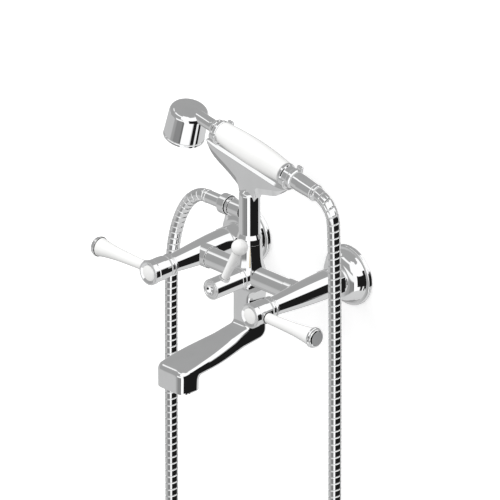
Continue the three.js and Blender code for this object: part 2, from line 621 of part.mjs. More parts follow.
function spout() {
  const side = extruded(spoutSide(), SPOUT_END_WIDTH).translate(0, 0, -SPOUT_END_WIDTH / 2)
    .rotateX(Math.PI / 2).rotateZ(-Math.PI / 2);
  const height = SPOUT_BOTTOM - SPOUT_TOP + 2;
  const plan = extruded(spoutPlan(), height).rotateZ(-Math.PI / 2).translate(0, 0, -SPOUT_BOTTOM - 1);
  const spigot = upright(rod(WATERWAY_R - GAP, -SPOUT_TOP - 2, -TUBE_BORE_R - 1.5), SMALL_ROUND);
  const bend = -SPOUT_DROP - 10;
  const down = upright(rod(SPOUT_BORE_R, bend, 0), INNER_ROUND);
  const fall = Math.atan2(SPOUT_REACH * 0.12, SPOUT_REACH);
  const along = outward(rod(SPOUT_BORE_R, -SPOUT_BORE_R / 2, SPOUT_REACH), INNER_ROUND)
    .rotate([THREE.MathUtils.radToDeg(fall), 0, 0]).translate([0, 0, bend]);
  const outlet = upright(rod(OUTLET_R, -SPOUT_BOTTOM - 1, -SPOUT_BOTTOM + OUTLET_DEPTH))
    .add(upright(rod(OUTLET_R - 3.5, -SPOUT_BOTTOM, -SPOUT_BOTTOM + OUTLET_DEPTH + 5), SMALL_ROUND))
    .translate([0, -SPOUT_REACH, 0]);
  const shape = solid(side).intersect(solid(plan)).add(spigot)
    .subtract(down).subtract(along).subtract(outlet).translate([0, -BODY_DEPTH, 0]);
  return piece('spout', shape, chrome);
}

// The aerator's threaded housing, its insert with a ring of slots, and the washer above them.
function aerator() {
  const outer = OUTLET_R - GAP;
  const inner = outer - AERATOR_WALL;
  const top = OUTLET_DEPTH - 2;
  const housing = upright([
    [inner, 0], [outer, 0], [outer, top], [inner - 1.2, top], [inner - 1.2, top - 2], [inner, top - 2],
  ], SMALL_ROUND);
  let insert = upright(rod(inner - GAP, 1.5, top - 2 - GAP), SMALL_ROUND);
  for (let i = 0; i < 8; i += 1) {
    const hole = upright(rod(1.5, 0, top), 6).translate([5.6, 0, 0]);
    insert = insert.subtract(hole.rotate([0, 0, i * 45]));
  }
  const washer = upright(ring(inner - 1, outer, top + GAP, OUTLET_DEPTH - GAP), SMALL_ROUND);
  const made = group(
    piece('aerator_housing', housing, chrome), piece('aerator_insert', insert, plastic),
    piece('aerator_washer', washer, rubber));
  made.position.set(0, -BODY_DEPTH - SPOUT_REACH, -SPOUT_BOTTOM);
  return made;
}

// ---------------------------------------------------------------- riser

// A flared foot that sits on the cross tube like a saddle.
function riserBase() {
  const shape = upright([
    [WATERWAY_R, 6], [RISER_FLARE_R, 6], [RISER_FLARE_R - 2.2, 12], [RISER_R + 1.8, 18],
    [RISER_R + 0.9, 26], [RISER_R + 0.3, RISER_BASE_TOP], [WATERWAY_R, RISER_BASE_TOP],
  ]).translate([0, -BODY_DEPTH, 0]);
  const knobRoom = outward(rod(BOSS_R + GAP, BODY_DEPTH, BOSS_FRONT + RISER_FLARE_R));
  return piece('riser_base', shape.subtract(centreOutside(GAP)).subtract(knobRoom), chrome);
}

function riserNipple() {
  const r = WATERWAY_R - GAP;
  const shape = upright(ring(r - NIPPLE_WALL, r, CARTRIDGE_BORE_R + GAP, RISER_BASE_TOP + 16),
    SMALL_ROUND);
  return piece('riser_nipple', shape.translate([0, -BODY_DEPTH, 0]), brass);
}

const tilt = THREE.MathUtils.degToRad(HANDSET_TILT);

// Places what is built along the hand shower's own axis.
const onHandset = (shape) =>
  shape.rotate([0, HANDSET_TILT, 0]).translate([0, -BODY_DEPTH, HANDSET_HEIGHT]);

// What the front and the back fork hold.
const FORK_HOLDS = [NECK_RING_R, TAIL_R];

// A U round the hand shower's axis, open at the top, its back prong longer than its front one.
function fork(i, extra) {
  const outer = FORK_HOLDS[i] + GAP + FORK_WALL + extra;
  const inner = FORK_HOLDS[i] + GAP - extra;
  const turns = [...Array(13).keys()].map((step) => Math.PI + step * Math.PI / 12);
  const points = [
    [outer, PRONG_BACK + extra], [inner, PRONG_BACK + extra],
    ...turns.map((a) => [inner * Math.cos(a), inner * Math.sin(a)]).reverse(),
    [-inner, PRONG_FRONT + extra], [-outer, PRONG_FRONT + extra],
    ...turns.map((a) => [outer * Math.cos(a), outer * Math.sin(a)]),
  ];
  const width = FORK_WIDTH + 2 * extra;
  return solid(extruded(points, width).translate(0, 0, -width / 2)
    .rotateX(Math.PI / 2).rotateZ(Math.PI / 2)).translate([FORK_AT[i], 0, 0]);
}

// The crescent web under the hand shower, with bevelled edges, and the round post it grows from.
function cradle() {
  const [front, back] = FORK_AT;
  const under = new THREE.SplineCurve([
    [front - 14, -WEB_TOP], [front - 8, -25], [front, -34], [-23, -40.5], [0, -42.5], [22, -40],
    [40, -33.5], [back - 8, -26], [back + 1, -20.5], [back + 4, -WEB_TOP],
  ].map(([x, z]) => new THREE.Vector2(x, z)));
  const outline = new THREE.Shape(under.getSpacedPoints(26));
  const flat = WEB_THICKNESS - 2 * WEB_BEVEL;
  const web = new THREE.ExtrudeGeometry(outline, {
    depth: flat, bevelEnabled: true, bevelThickness: WEB_BEVEL, bevelSize: WEB_BEVEL,
    bevelOffset: -WEB_BEVEL, bevelSegments: 1,
  }).translate(0, 0, -flat / 2).rotateX(Math.PI / 2);
  const post = upright([
    [0, RISER_BASE_TOP + GAP], [RISER_R, RISER_BASE_TOP + GAP], [RISER_R, RISER_TOP],
    [WEB_THICKNESS / 2, RISER_TOP + 6], [0, RISER_TOP + 6],
  ]).translate([0, -BODY_DEPTH, 0]);
  const bore = upright(rod(WATERWAY_R, RISER_BASE_TOP, OUTLET_HEIGHT + 8), SMALL_ROUND)
    .translate([0, -BODY_DEPTH, 0]);
  const port = sideways(rod(HOSE_BORE_R, -RISER_R - 2, 0), INNER_ROUND)
    .translate([0, -BODY_DEPTH, OUTLET_HEIGHT]);
  let shape = onHandset(solid(web)).add(post).subtract(bore).subtract(port);
  for (const i of FORK_AT.keys()) shape = shape.subtract(onHandset(fork(i, GAP)));
  return piece('cradle', shape, chrome);
}

const forks = () => ['cradle_fork_front', 'cradle_fork_back'].map((name, i) =>
  piece(name, onHandset(fork(i, 0)), chrome));

// ---------------------------------------------------------------- hose and its fittings

// The outlet stub, washer, nut and crimp sleeve on the riser, built along +X and turned to -X.
function hoseOutlet() {
  const nutFrom = OUTLET_STUB_END + GAP;
  const nutTo = nutFrom + HOSE_NUT_LENGTH;
  const threadEnd = nutFrom + 6;
  const shell = upright(rod(RISER_R + GAP, -30, 30));
  const stub = sideways([
    [HOSE_BORE_R, RISER_R - 3], [OUTLET_STUB_R, RISER_R - 3], [OUTLET_STUB_R, OUTLET_STUB_END],
    [HOSE_R + 0.8, OUTLET_STUB_END], [HOSE_R + 0.8, threadEnd], [HOSE_BORE_R, threadEnd],
  ], SMALL_ROUND).subtract(shell);
  const washer = sideways(ring(HOSE_BORE_R, HOSE_R + 0.8, threadEnd + GAP, threadEnd + 1.5), SMALL_ROUND);
  const lip = threadEnd + 1.5 + GAP;
  const nut = sideways([
    [HOSE_R + 1.1, nutFrom], [HOSE_NUT_R - 0.6, nutFrom], [HOSE_NUT_R, nutFrom + 0.8],
    [HOSE_NUT_R, nutTo - 1.2], [HOSE_NUT_R - 1, nutTo], [HOSE_R - 1.4, nutTo], [HOSE_R - 1.4, lip],
    [HOSE_R + 1.1, lip],
  ], SMALL_ROUND);
  const sleeveEnd = nutTo + GAP + SLEEVE_LENGTH;
  const sleeve = sideways(ring(HOSE_BORE_R, HOSE_R, nutTo + GAP, sleeveEnd), SMALL_ROUND);
  const made = group(
    piece('hose_outlet', stub, chrome), piece('body_hose_washer', washer, rubber),
    piece('body_hose_nut', nut, chrome), piece('body_hose_sleeve', sleeve, chrome));
  made.rotation.y = Math.PI;
  made.position.set(0, -BODY_DEPTH, OUTLET_HEIGHT);
  return made;
}

// One run of the hose: a plain tube along a smooth curve through its points.
function hoseRun(name, points) {
  const curve = new THREE.CatmullRomCurve3(
    points.map(([x, z]) => new THREE.Vector3(x, -BODY_DEPTH, z)), false, 'centripetal');
  const section = new THREE.Shape([...Array(HOSE_SIDES).keys()].map((i) => {
    const a = 2 * Math.PI * i / HOSE_SIDES;
    return new THREE.Vector2(HOSE_R * Math.cos(a), HOSE_R * Math.sin(a));
  }));
  const tube = new THREE.ExtrudeGeometry(section, { steps: HOSE_STEPS, extrudePath: curve });
  return piece(name, solid(tube), chrome);
}

// ---------------------------------------------------------------- hand shower, axis along +X

const headRotation = [0, HEAD_LEAN, 0];
const toHead = (shape) => shape.rotate(headRotation).translate([HEAD_AT, 0, -HEAD_BELOW]);

// The outside of the bell shaped head, made larger all over by extra.
function headOutside(extra) {
  const shoulder = HEAD_HEIGHT - HEAD_FILLET;
  const arc = [0.25, 0.5, 0.75, 1].map((t) => {
    const a = t * Math.PI / 2;
    return [HEAD_TOP_R - HEAD_FILLET + (HEAD_FILLET + extra) * Math.cos(a),
      shoulder + (HEAD_FILLET + extra) * Math.sin(a)];
  });
  return upright([
    [0, -extra], [HEAD_R + extra - 0.4, -extra], [HEAD_R + extra, 0.6], [HEAD_R + extra, 2],
    [HEAD_TOP_R + extra, shoulder], ...arc, [0, HEAD_HEIGHT + 0.8 + extra],
  ]);
}

function showerHead() {
  const shoulder = HEAD_HEIGHT - HEAD_FILLET;
  const hollow = upright([
    [0, -1], [HEAD_R - HEAD_WALL, -1], [HEAD_R - HEAD_WALL, PLATE_THICKNESS + GAP],
    [HEAD_R - HEAD_WALL - 1.2, PLATE_THICKNESS + GAP], [HEAD_TOP_R - HEAD_WALL - 0.6, shoulder],
    [HEAD_TOP_R - HEAD_FILLET, HEAD_HEIGHT - HEAD_WALL - 0.6], [0, HEAD_HEIGHT - HEAD_WALL - 0.4],
  ]);
  const port = sideways(rod(INNER_TUBE_BORE_R, HEAD_AT, HEAD_AT + HEAD_R + 4), INNER_ROUND);
  const shape = toHead(headOutside(0).subtract(hollow)).subtract(port);
  return piece('shower_head', shape, chrome);
}

function sprayPlate() {
  let plate = upright(rod(HEAD_R - HEAD_WALL - GAP, 0, PLATE_THICKNESS));
  for (const [r, count] of NOZZLE_RINGS) {
    for (let i = 0; i < count; i += 1) {
      const nozzle = upright(rod(NOZZLE_R, -1, PLATE_THICKNESS + 1), 6).translate([r, 0, 0]);
      plate = plate.subtract(nozzle.rotate([0, 0, i * 360 / count]));
    }
  }
  return piece('spray_plate', toHead(plate), chrome);
}

// The neck between head and grip, with the rings that close the porcelain's front end.
function handsetNeck() {
  const ringEnd = GRIP_START - GAP;
  const shape = sideways([
    [INNER_TUBE_R + GAP, ringEnd], [INNER_TUBE_R + GAP, ringEnd - 8],
    [INNER_TUBE_BORE_R, ringEnd - 8], [INNER_TUBE_BORE_R, HEAD_AT],
    [NECK_R - 0.2, HEAD_AT], [NECK_R - 0.2, ringEnd - 12], [NECK_R + 1.6, ringEnd - 7.4],
    [NECK_RING_R - 1.6, ringEnd - 3.6], [NECK_RING_R, ringEnd - 2.6], [NECK_RING_R, ringEnd - 1],
    [NECK_RING_R - 0.7, ringEnd],
  ]).subtract(toHead(headOutside(GAP)));
  return piece('handset_neck', shape, chrome);
}

// A porcelain barrel, thickest in the middle.
function handsetGrip() {
  const outline = [0, 0.1, 0.3, 0.5, 0.7, 0.9, 1].map((t) => [
    GRIP_END_R + GRIP_BULGE * Math.sin(Math.PI * t) ** 0.75,
    GRIP_START + (GRIP_END - GRIP_START) * t]);
  return piece('handset_grip', sideways(
    [[GRIP_BORE_R, GRIP_START], ...outline, [GRIP_BORE_R, GRIP_END]]), porcelain);
}

const TAIL_START_X = GRIP_END + GAP;
const TAIL_END_X = TAIL_START_X + TAIL_LENGTH;

function handsetTube() {
  return piece('handset_tube', sideways(ring(
    INNER_TUBE_BORE_R, INNER_TUBE_R, GRIP_START - 8, TAIL_START_X + 6), SMALL_ROUND), brass);
}

// The ferrule behind the porcelain: two raised rings, then the thread that takes the hose.
function handsetTail() {
  const thread = TAIL_END_X + 8;
  return piece('handset_tail', sideways([
    [INNER_TUBE_R + GAP, TAIL_START_X], [TAIL_R - 0.6, TAIL_START_X], [TAIL_R, TAIL_START_X + 0.8],
    [TAIL_R, TAIL_START_X + 3.4], [TAIL_R - 1.6, TAIL_START_X + 4.4],
    [TAIL_R - 1.6, TAIL_START_X + 11], [TAIL_R - 0.6, TAIL_START_X + 12],
    [TAIL_R - 0.6, TAIL_END_X - 1.4], [TAIL_R - 1.8, TAIL_END_X], [HOSE_R, TAIL_END_X],
    [HOSE_R, thread], [INNER_TUBE_BORE_R, thread], [INNER_TUBE_BORE_R, TAIL_START_X + 6 + GAP],
    [INNER_TUBE_R + GAP, TAIL_START_X + 6 + GAP],
  ]), chrome);
}

const CONE_START = TAIL_END_X + GAP;
const CONE_END = CONE_START + CONE_LENGTH;

// The long smooth cone nut that holds the hose's end.
function handsetHoseNut() {
  const thread = TAIL_END_X + 8 + GAP;
  return piece('handset_hose_nut', sideways([
    [HOSE_R + GAP, CONE_START], [CONE_R - 0.5, CONE_START], [CONE_R, CONE_START + 0.8],
    [CONE_R, CONE_START + 8], [CONE_END_R, CONE_END - 4], [CONE_END_R + 0.5, CONE_END - 3.4],
    [CONE_END_R + 0.5, CONE_END - 0.8], [CONE_END_R - 0.2, CONE_END], [HOSE_BORE_R, CONE_END],
    [HOSE_BORE_R, thread + 2.5], [HOSE_R + GAP, thread + 2.5],
  ], SMALL_ROUND), chrome);
}

function handsetHoseWasher() {
  const from = TAIL_END_X + 8 + GAP;
  return piece('handset_hose_washer',
    sideways(ring(HOSE_BORE_R, HOSE_R, from, from + 2), SMALL_ROUND), rubber);
}

function handset() {
  const made = group(showerHead(), sprayPlate(), handsetNeck(), handsetGrip(), handsetTube(),
    handsetTail(), handsetHoseNut(), handsetHoseWasher());
  made.rotation.y = tilt;
  made.position.set(0, -BODY_DEPTH, HANDSET_HEIGHT);
  return made;
}

// ---------------------------------------------------------------- the whole mixer

const mixer = group(
  inlet(-1), inlet(1), centreBody(),
  diverterCartridge(), diverterSpindle(), diverterKnob(), diverterCap(), diverterLeverRing(),
  diverterLever(), spout(), aerator(), riserBase(), riserNipple(), cradle(), ...forks(),
  hoseOutlet(), hoseRun('hose_from_body', HOSE_FROM_BODY),
  hoseRun('hose_to_handset', HOSE_TO_HANDSET), handset());

export default mixer;
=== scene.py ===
"""A wall mounted bath mixer with porcelain levers, a lever diverter, a fixed spout and a hand shower.

Every shape is worked out in millimetres and written to its mesh in metres, in the frame of the
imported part: +X runs along the wall, the mixer stands out along -Y and +Z is up.
"""

import json
import logging
import math
from dataclasses import dataclass
from enum import Enum

import bpy
import numpy as np
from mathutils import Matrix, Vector


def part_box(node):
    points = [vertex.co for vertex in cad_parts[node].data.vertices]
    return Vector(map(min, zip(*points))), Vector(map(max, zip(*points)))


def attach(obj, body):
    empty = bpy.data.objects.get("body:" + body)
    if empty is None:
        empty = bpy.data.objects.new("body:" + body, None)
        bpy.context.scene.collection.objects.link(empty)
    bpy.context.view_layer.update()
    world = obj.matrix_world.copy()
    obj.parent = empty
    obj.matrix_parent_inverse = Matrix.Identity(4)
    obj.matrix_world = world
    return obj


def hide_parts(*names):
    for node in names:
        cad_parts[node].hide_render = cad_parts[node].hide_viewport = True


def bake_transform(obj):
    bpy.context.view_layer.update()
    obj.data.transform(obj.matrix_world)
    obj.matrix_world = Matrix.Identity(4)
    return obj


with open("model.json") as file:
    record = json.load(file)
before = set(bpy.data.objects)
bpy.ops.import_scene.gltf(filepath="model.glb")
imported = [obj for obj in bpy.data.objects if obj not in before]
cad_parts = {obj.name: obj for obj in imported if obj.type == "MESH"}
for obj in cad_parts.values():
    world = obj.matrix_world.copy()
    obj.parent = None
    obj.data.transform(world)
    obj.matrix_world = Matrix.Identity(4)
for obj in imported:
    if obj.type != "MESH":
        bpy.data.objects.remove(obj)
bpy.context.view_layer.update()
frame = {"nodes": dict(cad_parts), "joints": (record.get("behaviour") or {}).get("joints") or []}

MM = 0.001
FINE = 96          # facets round a large turned piece
MEDIUM = 64        # facets round a small one
NOZZLE_FACETS = 16
ARC_STEP = 0.2     # radians between two points of a rounded corner
X_AXIS = np.array([1.0, 0.0, 0.0])
Y_AXIS = np.array([0.0, 1.0, 0.0])
Z_AXIS = np.array([0.0, 0.0, 1.0])

log = logging.getLogger("bath_mixer")


# ------------------------------------------------------------------ places taken from the frame


def box_of(node: str) -> tuple[np.ndarray, np.ndarray]:
    """The lowest and highest corners of a CAD node.

    Args:
        node: the node's name.

    Returns:
        Two points in millimetres.
    """
    low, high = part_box(node)
    return np.array(low) / MM, np.array(high) / MM


def middle_of(node: str) -> np.ndarray:
    """The middle of a CAD node's box, in millimetres."""
    low, high = box_of(node)
    return (low + high) / 2


def joint_axis(name: str) -> np.ndarray:
    """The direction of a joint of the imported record."""
    found = next(joint for joint in frame["joints"] if joint["name"] == name)
    return unit(np.array(found["axis"], float))


def unit(vector: np.ndarray) -> np.ndarray:
    """Vectors scaled to length 1, along their last dimension."""
    length = np.linalg.norm(vector, axis=-1, keepdims=True)
    return vector / np.maximum(length, 1e-12)


# ------------------------------------------------------------------ outlines


@dataclass(frozen=True)
class Outline:
    """A line in a plane with its direction at each point.

    Attributes:
        points: (n, 2) places.
        tangents: (n, 2) directions of length 1.
    """

    points: np.ndarray
    tangents: np.ndarray

    @classmethod
    def through(cls, *parts: tuple | np.ndarray, closed: bool = False, soft: float = 0.25) -> "Outline":
        """A line through corners and smooth stretches.

        A corner is replaced by an arc that touches both of its sides. The arc's tangent turns
        evenly from one side's direction to the other's, and its points are the start plus the
        radius times (sine along the first side, one minus cosine across it).

        Args:
            parts: (a, b) or (a, b, radius) for a corner, or an (n, 2) array for a smooth stretch.
            closed: whether the line goes back to its first point.
            soft: radius of a corner that names none.

        Returns:
            The outline.
        """
        nodes: list[tuple[float, float, float]] = []
        for part in parts:
            if isinstance(part, np.ndarray):
                nodes += [(a, b, 0.0) for a, b in part]
            else:
                nodes.append((part[0], part[1], part[2] if len(part) > 2 else soft))
        places = np.array([node[:2] for node in nodes])
        points, tangents = [], []
        for i, (_, _, radius) in enumerate(nodes):
            before, here, after = places[i - 1], places[i], places[(i + 1) % len(nodes)]
            first = not closed and i == 0
            last = not closed and i == len(nodes) - 1
            if first or last:
                points.append(here[None])
                tangents.append(unit(after - here if first else here - before)[None])
                continue
            into, out = here - before, after - here
            long_in, long_out = np.linalg.norm(into), np.linalg.norm(out)
            into, out = into / long_in, out / long_out
            turn = math.acos(np.clip(into @ out, -1, 1))
            if radius == 0 or turn < 0.02:
                points.append(here[None])
                tangents.append(unit(into * long_out + out * long_in)[None])
                continue
            reach = min(radius * math.tan(turn / 2), 0.48 * min(long_in, long_out))
            radius = reach / math.tan(turn / 2)
            across = (out - math.cos(turn) * into) / math.sin(turn)
            angle = np.linspace(0, turn, max(3, math.ceil(turn / ARC_STEP) + 1))[:, None]
            start = here - into * reach
            points.append(start + radius * (np.sin(angle) * into + (1 - np.cos(angle)) * across))
            tangents.append(np.cos(angle) * into + np.sin(angle) * across)
        return cls(np.concatenate(points), np.concatenate(tangents))


def turns(count: int) -> np.ndarray:
    """Evenly spaced angles round a full turn, in radians."""
    return np.arange(count) * 2 * np.pi / count


def smooth_step(value: np.ndarray) -> np.ndarray:
    """Three times the square less twice the cube of a value held between 0 and 1."""
    held = np.clip(value, 0, 1)
    return held * held * (3 - 2 * held)


# ------------------------------------------------------------------ surfaces


@dataclass
class Surface:
    """A closed skin, or several, in millimetres.

    Attributes:
        vertices: (n, 3) places.
        normals: (n, 3) directions out of the solid.
        quads: (m, 4) vertex numbers.
        triangles: (k, 3) vertex numbers.
    """

    vertices: np.ndarray
    normals: np.ndarray
    quads: np.ndarray
    triangles: np.ndarray

    @classmethod
    def grid(cls, points: np.ndarray, normals: np.ndarray, ring: bool = True, loop: bool = False) -> "Surface":
        """A skin over a grid of points. A row whose points all coincide becomes one pole.

        Args:
            points: (u, v, 3) places.
            normals: (u, v, 3) directions, either way round.
            ring: whether the last column joins the first.
            loop: whether the last row joins the first.

        Returns:
            The surface with its faces and normals pointing out.
        """
        rows, columns = points.shape[:2]
        index = np.arange(rows * columns).reshape(rows, columns)
        poles = np.ptp(points, axis=1).max(axis=1) < 1e-6
        index[poles] = index[poles][:, :1]
        if loop:
            index = np.vstack([index, index[:1]])
        if ring:
            index = np.hstack([index, index[:, :1]])
        faces = np.stack([index[:-1, :-1], index[:-1, 1:], index[1:, 1:], index[1:, :-1]], -1).reshape(-1, 4)
        return cls.tidy(points.reshape(-1, 3), normals.reshape(-1, 3), faces)

    @classmethod
    def tidy(cls, vertices: np.ndarray, normals: np.ndarray, faces: np.ndarray) -> "Surface":
        """A closed skin from four sided faces, some of which may have a side of no length.

        The signed volume is a sixth of the sum of each triangle's corner products; where it is
        negative the faces are turned round, and normals that disagree with them are turned too.

        Args:
            vertices: (n, 3) places.
            normals: (n, 3) directions, all out or all in.
            faces: (m, 4) vertex numbers.

        Returns:
            The surface, without the vertices that no face uses.
        """
        first = faces[:, 0] == faces[:, 1]
        second = faces[:, 2] == faces[:, 3]
        quads = faces[~first & ~second]
        triangles = np.concatenate([faces[first & ~second][:, [1, 2, 3]], faces[second & ~first][:, [0, 1, 2]]])
        used, packed = np.unique(np.concatenate([quads.ravel(), triangles.ravel()]), return_inverse=True)
        quads, triangles = packed[: quads.size].reshape(-1, 4), packed[quads.size :].reshape(-1, 3)
        vertices, normals = vertices[used], unit(normals[used])
        flat = np.concatenate([quads[:, [0, 1, 2]], quads[:, [0, 2, 3]], triangles])
        a, b, c = vertices[flat[:, 0]], vertices[flat[:, 1]], vertices[flat[:, 2]]
        facing = np.cross(b - a, c - a)
        if (a * facing).sum() < 0:
            quads, triangles, facing = quads[:, ::-1], triangles[:, ::-1], -facing
        if (facing * normals[flat[:, 0]]).sum() < 0:
            normals = -normals
        return cls(vertices, normals, quads, triangles)

    def __add__(self, other: "Surface") -> "Surface":
        """Both skins in one.

        Args:
            other: the skin to add.

        Returns:
            A new surface.
        """
        shift = len(self.vertices)
        return Surface(
            np.concatenate([self.vertices, other.vertices]),
            np.concatenate([self.normals, other.normals]),
            np.concatenate([self.quads, other.quads + shift]),
            np.concatenate([self.triangles, other.triangles + shift]),
        )

    def mesh(self, name: str) -> bpy.types.Mesh:
        """A Blender mesh in metres, shaded by the skin's own normals.

        Args:
            name: the mesh's name.

        Returns:
            The mesh.
        """
        made = bpy.data.meshes.new(name)
        made.vertices.add(len(self.vertices))
        made.vertices.foreach_set("co", (self.vertices * MM).astype(np.float32).ravel())
        corners = np.concatenate([self.quads.ravel(), self.triangles.ravel()]).astype(np.int32)
        sizes = np.concatenate([np.full(len(self.quads), 4), np.full(len(self.triangles), 3)])
        made.loops.add(len(corners))
        made.loops.foreach_set("vertex_index", corners)
        made.polygons.add(len(sizes))
        made.polygons.foreach_set("loop_start", np.concatenate([[0], np.cumsum(sizes)[:-1]]).astype(np.int32))
        made.polygons.foreach_set("use_smooth", np.ones(len(sizes), bool))
        made.update(calc_edges=True)
        made.validate()
        made.normals_split_custom_set_from_vertices(self.normals.astype(np.float32).tolist())
        return made


@dataclass(frozen=True)
class Line:
    """A straight line that pieces are turned round.

    Attributes:
        origin: the point that heights are measured from.
        along: its direction.
        side: a direction square to it, where angles start.
    """

    origin: np.ndarray
    along: np.ndarray
    side: np.ndarray

    @property
    def third(self) -> np.ndarray:
        """The direction square to the line and to its side."""
        return np.cross(self.along, self.side)

    def at(self, height: float) -> np.ndarray:
        """The point of the line at a height."""
        return self.origin + self.along * height

    def from_here(self, origin: np.ndarray) -> "Line":
        """A line the same way round through another point."""
        return Line(origin, self.along, self.side)

    def spokes(self, around: int) -> np.ndarray:
        """Directions out from the line at evenly spaced angles, from its side towards its third."""
        angle = turns(around)
        return np.cos(angle)[:, None] * self.side + np.sin(angle)[:, None] * self.third

    def turned(self, outline: Outline, around: int = FINE, closed: bool = False) -> Surface:
        """The skin that an outline of (radius, height) makes as it turns round the line.

        A point is the origin plus the height along the line plus the radius times (cosine along
        the side, sine along the third direction). Its normal has the outline's tangent turned a
        quarter: the height's change across the line, less the radius's change along it.

        Args:
            outline: from the axis out and back to the axis, or a ring's closed outline.
            around: facets round the line.
            closed: whether the outline is a ring's.

        Returns:
            The surface.
        """
        spoke = self.spokes(around)
        radius, height = outline.points[:, 0], outline.points[:, 1]
        rise, spread = outline.tangents[:, 1], outline.tangents[:, 0]
        points = self.origin + height[:, None, None] * self.along + radius[:, None, None] * spoke[None]
        normals = rise[:, None, None] * spoke[None] - spread[:, None, None] * self.along
        return Surface.grid(points, normals, loop=closed)


def slopes(points: np.ndarray, ring: bool = True, loop: bool = False) -> np.ndarray:
    """Normals of a grid of points: the cross product of the differences along its two ways.

    Args:
        points: (u, v, 3) places.
        ring: whether the columns close.
        loop: whether the rows close.

    Returns:
        (u, v, 3) directions of length 1.
    """
    if loop:
        down = np.roll(points, -1, 0) - np.roll(points, 1, 0)
    else:
        down = np.gradient(points, axis=0)
    if ring:
        round_it = np.roll(points, -1, 1) - np.roll(points, 1, 1)
    else:
        round_it = np.gradient(points, axis=1)
    return unit(np.cross(round_it, down))


def capped(points: np.ndarray) -> np.ndarray:
    """A grid of points with a row added at each end that lies in the middle of the row next to it."""
    ends = [np.broadcast_to(points[i].mean(0), points[:1].shape) for i in (0, -1)]
    return np.concatenate([ends[0], points, ends[1]])


# ------------------------------------------------------------------ finishes


class Graph:
    """A node tree that is filled node by node."""

    def __init__(self, tree: bpy.types.NodeTree) -> None:
        """Empties the tree."""
        self.tree = tree
        tree.nodes.clear()

    def node(self, kind: str, inputs: dict | None = None, **settings: object) -> bpy.types.Node:
        """Adds a node.

        Args:
            kind: Blender's name for it.
            inputs: socket names or numbers, each with a value or with the output that feeds it.
            settings: the node's own properties.

        Returns:
            The node.
        """
        made = self.tree.nodes.new(kind)
        for key, value in settings.items():
            setattr(made, key, value)
        for socket, value in (inputs or {}).items():
            if isinstance(value, bpy.types.NodeSocket):
                self.tree.links.new(value, made.inputs[socket])
            else:
                made.inputs[socket].default_value = value
        return made

    def math(self, operation: str, first: object, second: object = 0.0) -> bpy.types.NodeSocket:
        """One step of arithmetic on two numbers or outputs."""
        return self.node("ShaderNodeMath", {0: first, 1: second}, operation=operation).outputs[0]

    def ramp(self, value: bpy.types.NodeSocket, start: float, end: float, low: float = 0.0, high: float = 1.0,
             smooth: bool = False) -> bpy.types.NodeSocket:
        """A value from start to end mapped to low to high and held there.

        Args:
            value: what is mapped.
            start, end: its range.
            low, high: the result's range.
            smooth: whether the change eases in and out.

        Returns:
            The mapped value.
        """
        style = "SMOOTHSTEP" if smooth else "LINEAR"
        made = self.node("ShaderNodeMapRange", {0: value, 1: start, 2: end, 3: low, 4: high},
                         interpolation_type=style)
        return made.outputs[0]

    def noise(self, scale: float, detail: float = 2.0, stretch: tuple = (1, 1, 1)) -> bpy.types.NodeSocket:
        """Noise over the piece's own place, in marks to the metre."""
        place = self.node("ShaderNodeTexCoord").outputs["Object"]
        mapped = self.node("ShaderNodeMapping", {"Vector": place, "Scale": stretch}).outputs[0]
        made = self.node("ShaderNodeTexNoise", {"Vector": mapped, "Scale": scale, "Detail": detail})
        return made.outputs["Fac"]


@dataclass(frozen=True)
class Finish:
    """A surface finish with uneven roughness and a slight relief.

    Attributes:
        name: the material's name.
        dark, light: the two colours that the surface drifts between.
        metal: 1 for metal, 0 for anything else.
        smooth, rough: the two roughnesses that it drifts between.
        drift: marks to the metre of the drift.
        relief: height of the relief in millimetres.
        grain: marks to the metre of the relief.
        stretch: how the relief's marks are drawn out.
        index: index of refraction.
        coat: weight of a clear coat.
    """

    name: str
    dark: tuple[float, float, float]
    light: tuple[float, float, float]
    metal: float
    smooth: float
    rough: float
    drift: float = 40.0
    relief: float = 0.004
    grain: float = 90.0
    stretch: tuple[float, float, float] = (1, 1, 1)
    index: float = 1.5
    coat: float = 0.0

    def material(self) -> bpy.types.Material:
        """The finish as a material, made the first time that it is asked for.

        Returns:
            The material.
        """
        found = bpy.data.materials.get(self.name)
        if found:
            return found
        made = bpy.data.materials.new(self.name)
        made.use_nodes = True
        made.diffuse_color = (*self.light, 1)
        graph = Graph(made.node_tree)
        cloud = graph.noise(self.drift)
        colour = graph.node("ShaderNodeMix", {"Factor": graph.ramp(cloud, 0.3, 0.7), "A": (*self.dark, 1),
                                              "B": (*self.light, 1)}, data_type="RGBA")
        pits = graph.noise(self.grain, 3.0, self.stretch)
        bump = graph.node("ShaderNodeBump", {"Height": pits, "Distance": self.relief * MM, "Strength": 1.0})
        shader = graph.node("ShaderNodeBsdfPrincipled", {
            "Base Color": colour.outputs["Result"],
            "Roughness": graph.ramp(cloud, 0.25, 0.75, self.smooth, self.rough),
            "Metallic": self.metal, "IOR": self.index, "Coat Weight": self.coat,
            "Coat Roughness": 0.03, "Normal": bump.outputs[0]})
        graph.node("ShaderNodeOutputMaterial", {"Surface": shader.outputs[0]})
        return made


class Slot(Enum):
    """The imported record's material slots."""

    CHROME = "chrome"
    HOSE = "hose_chrome"
    PORCELAIN = "porcelain"
    BRASS = "brass"
    STEEL = "steel"
    RUBBER = "rubber"
    PLASTIC = "aerator_plastic"


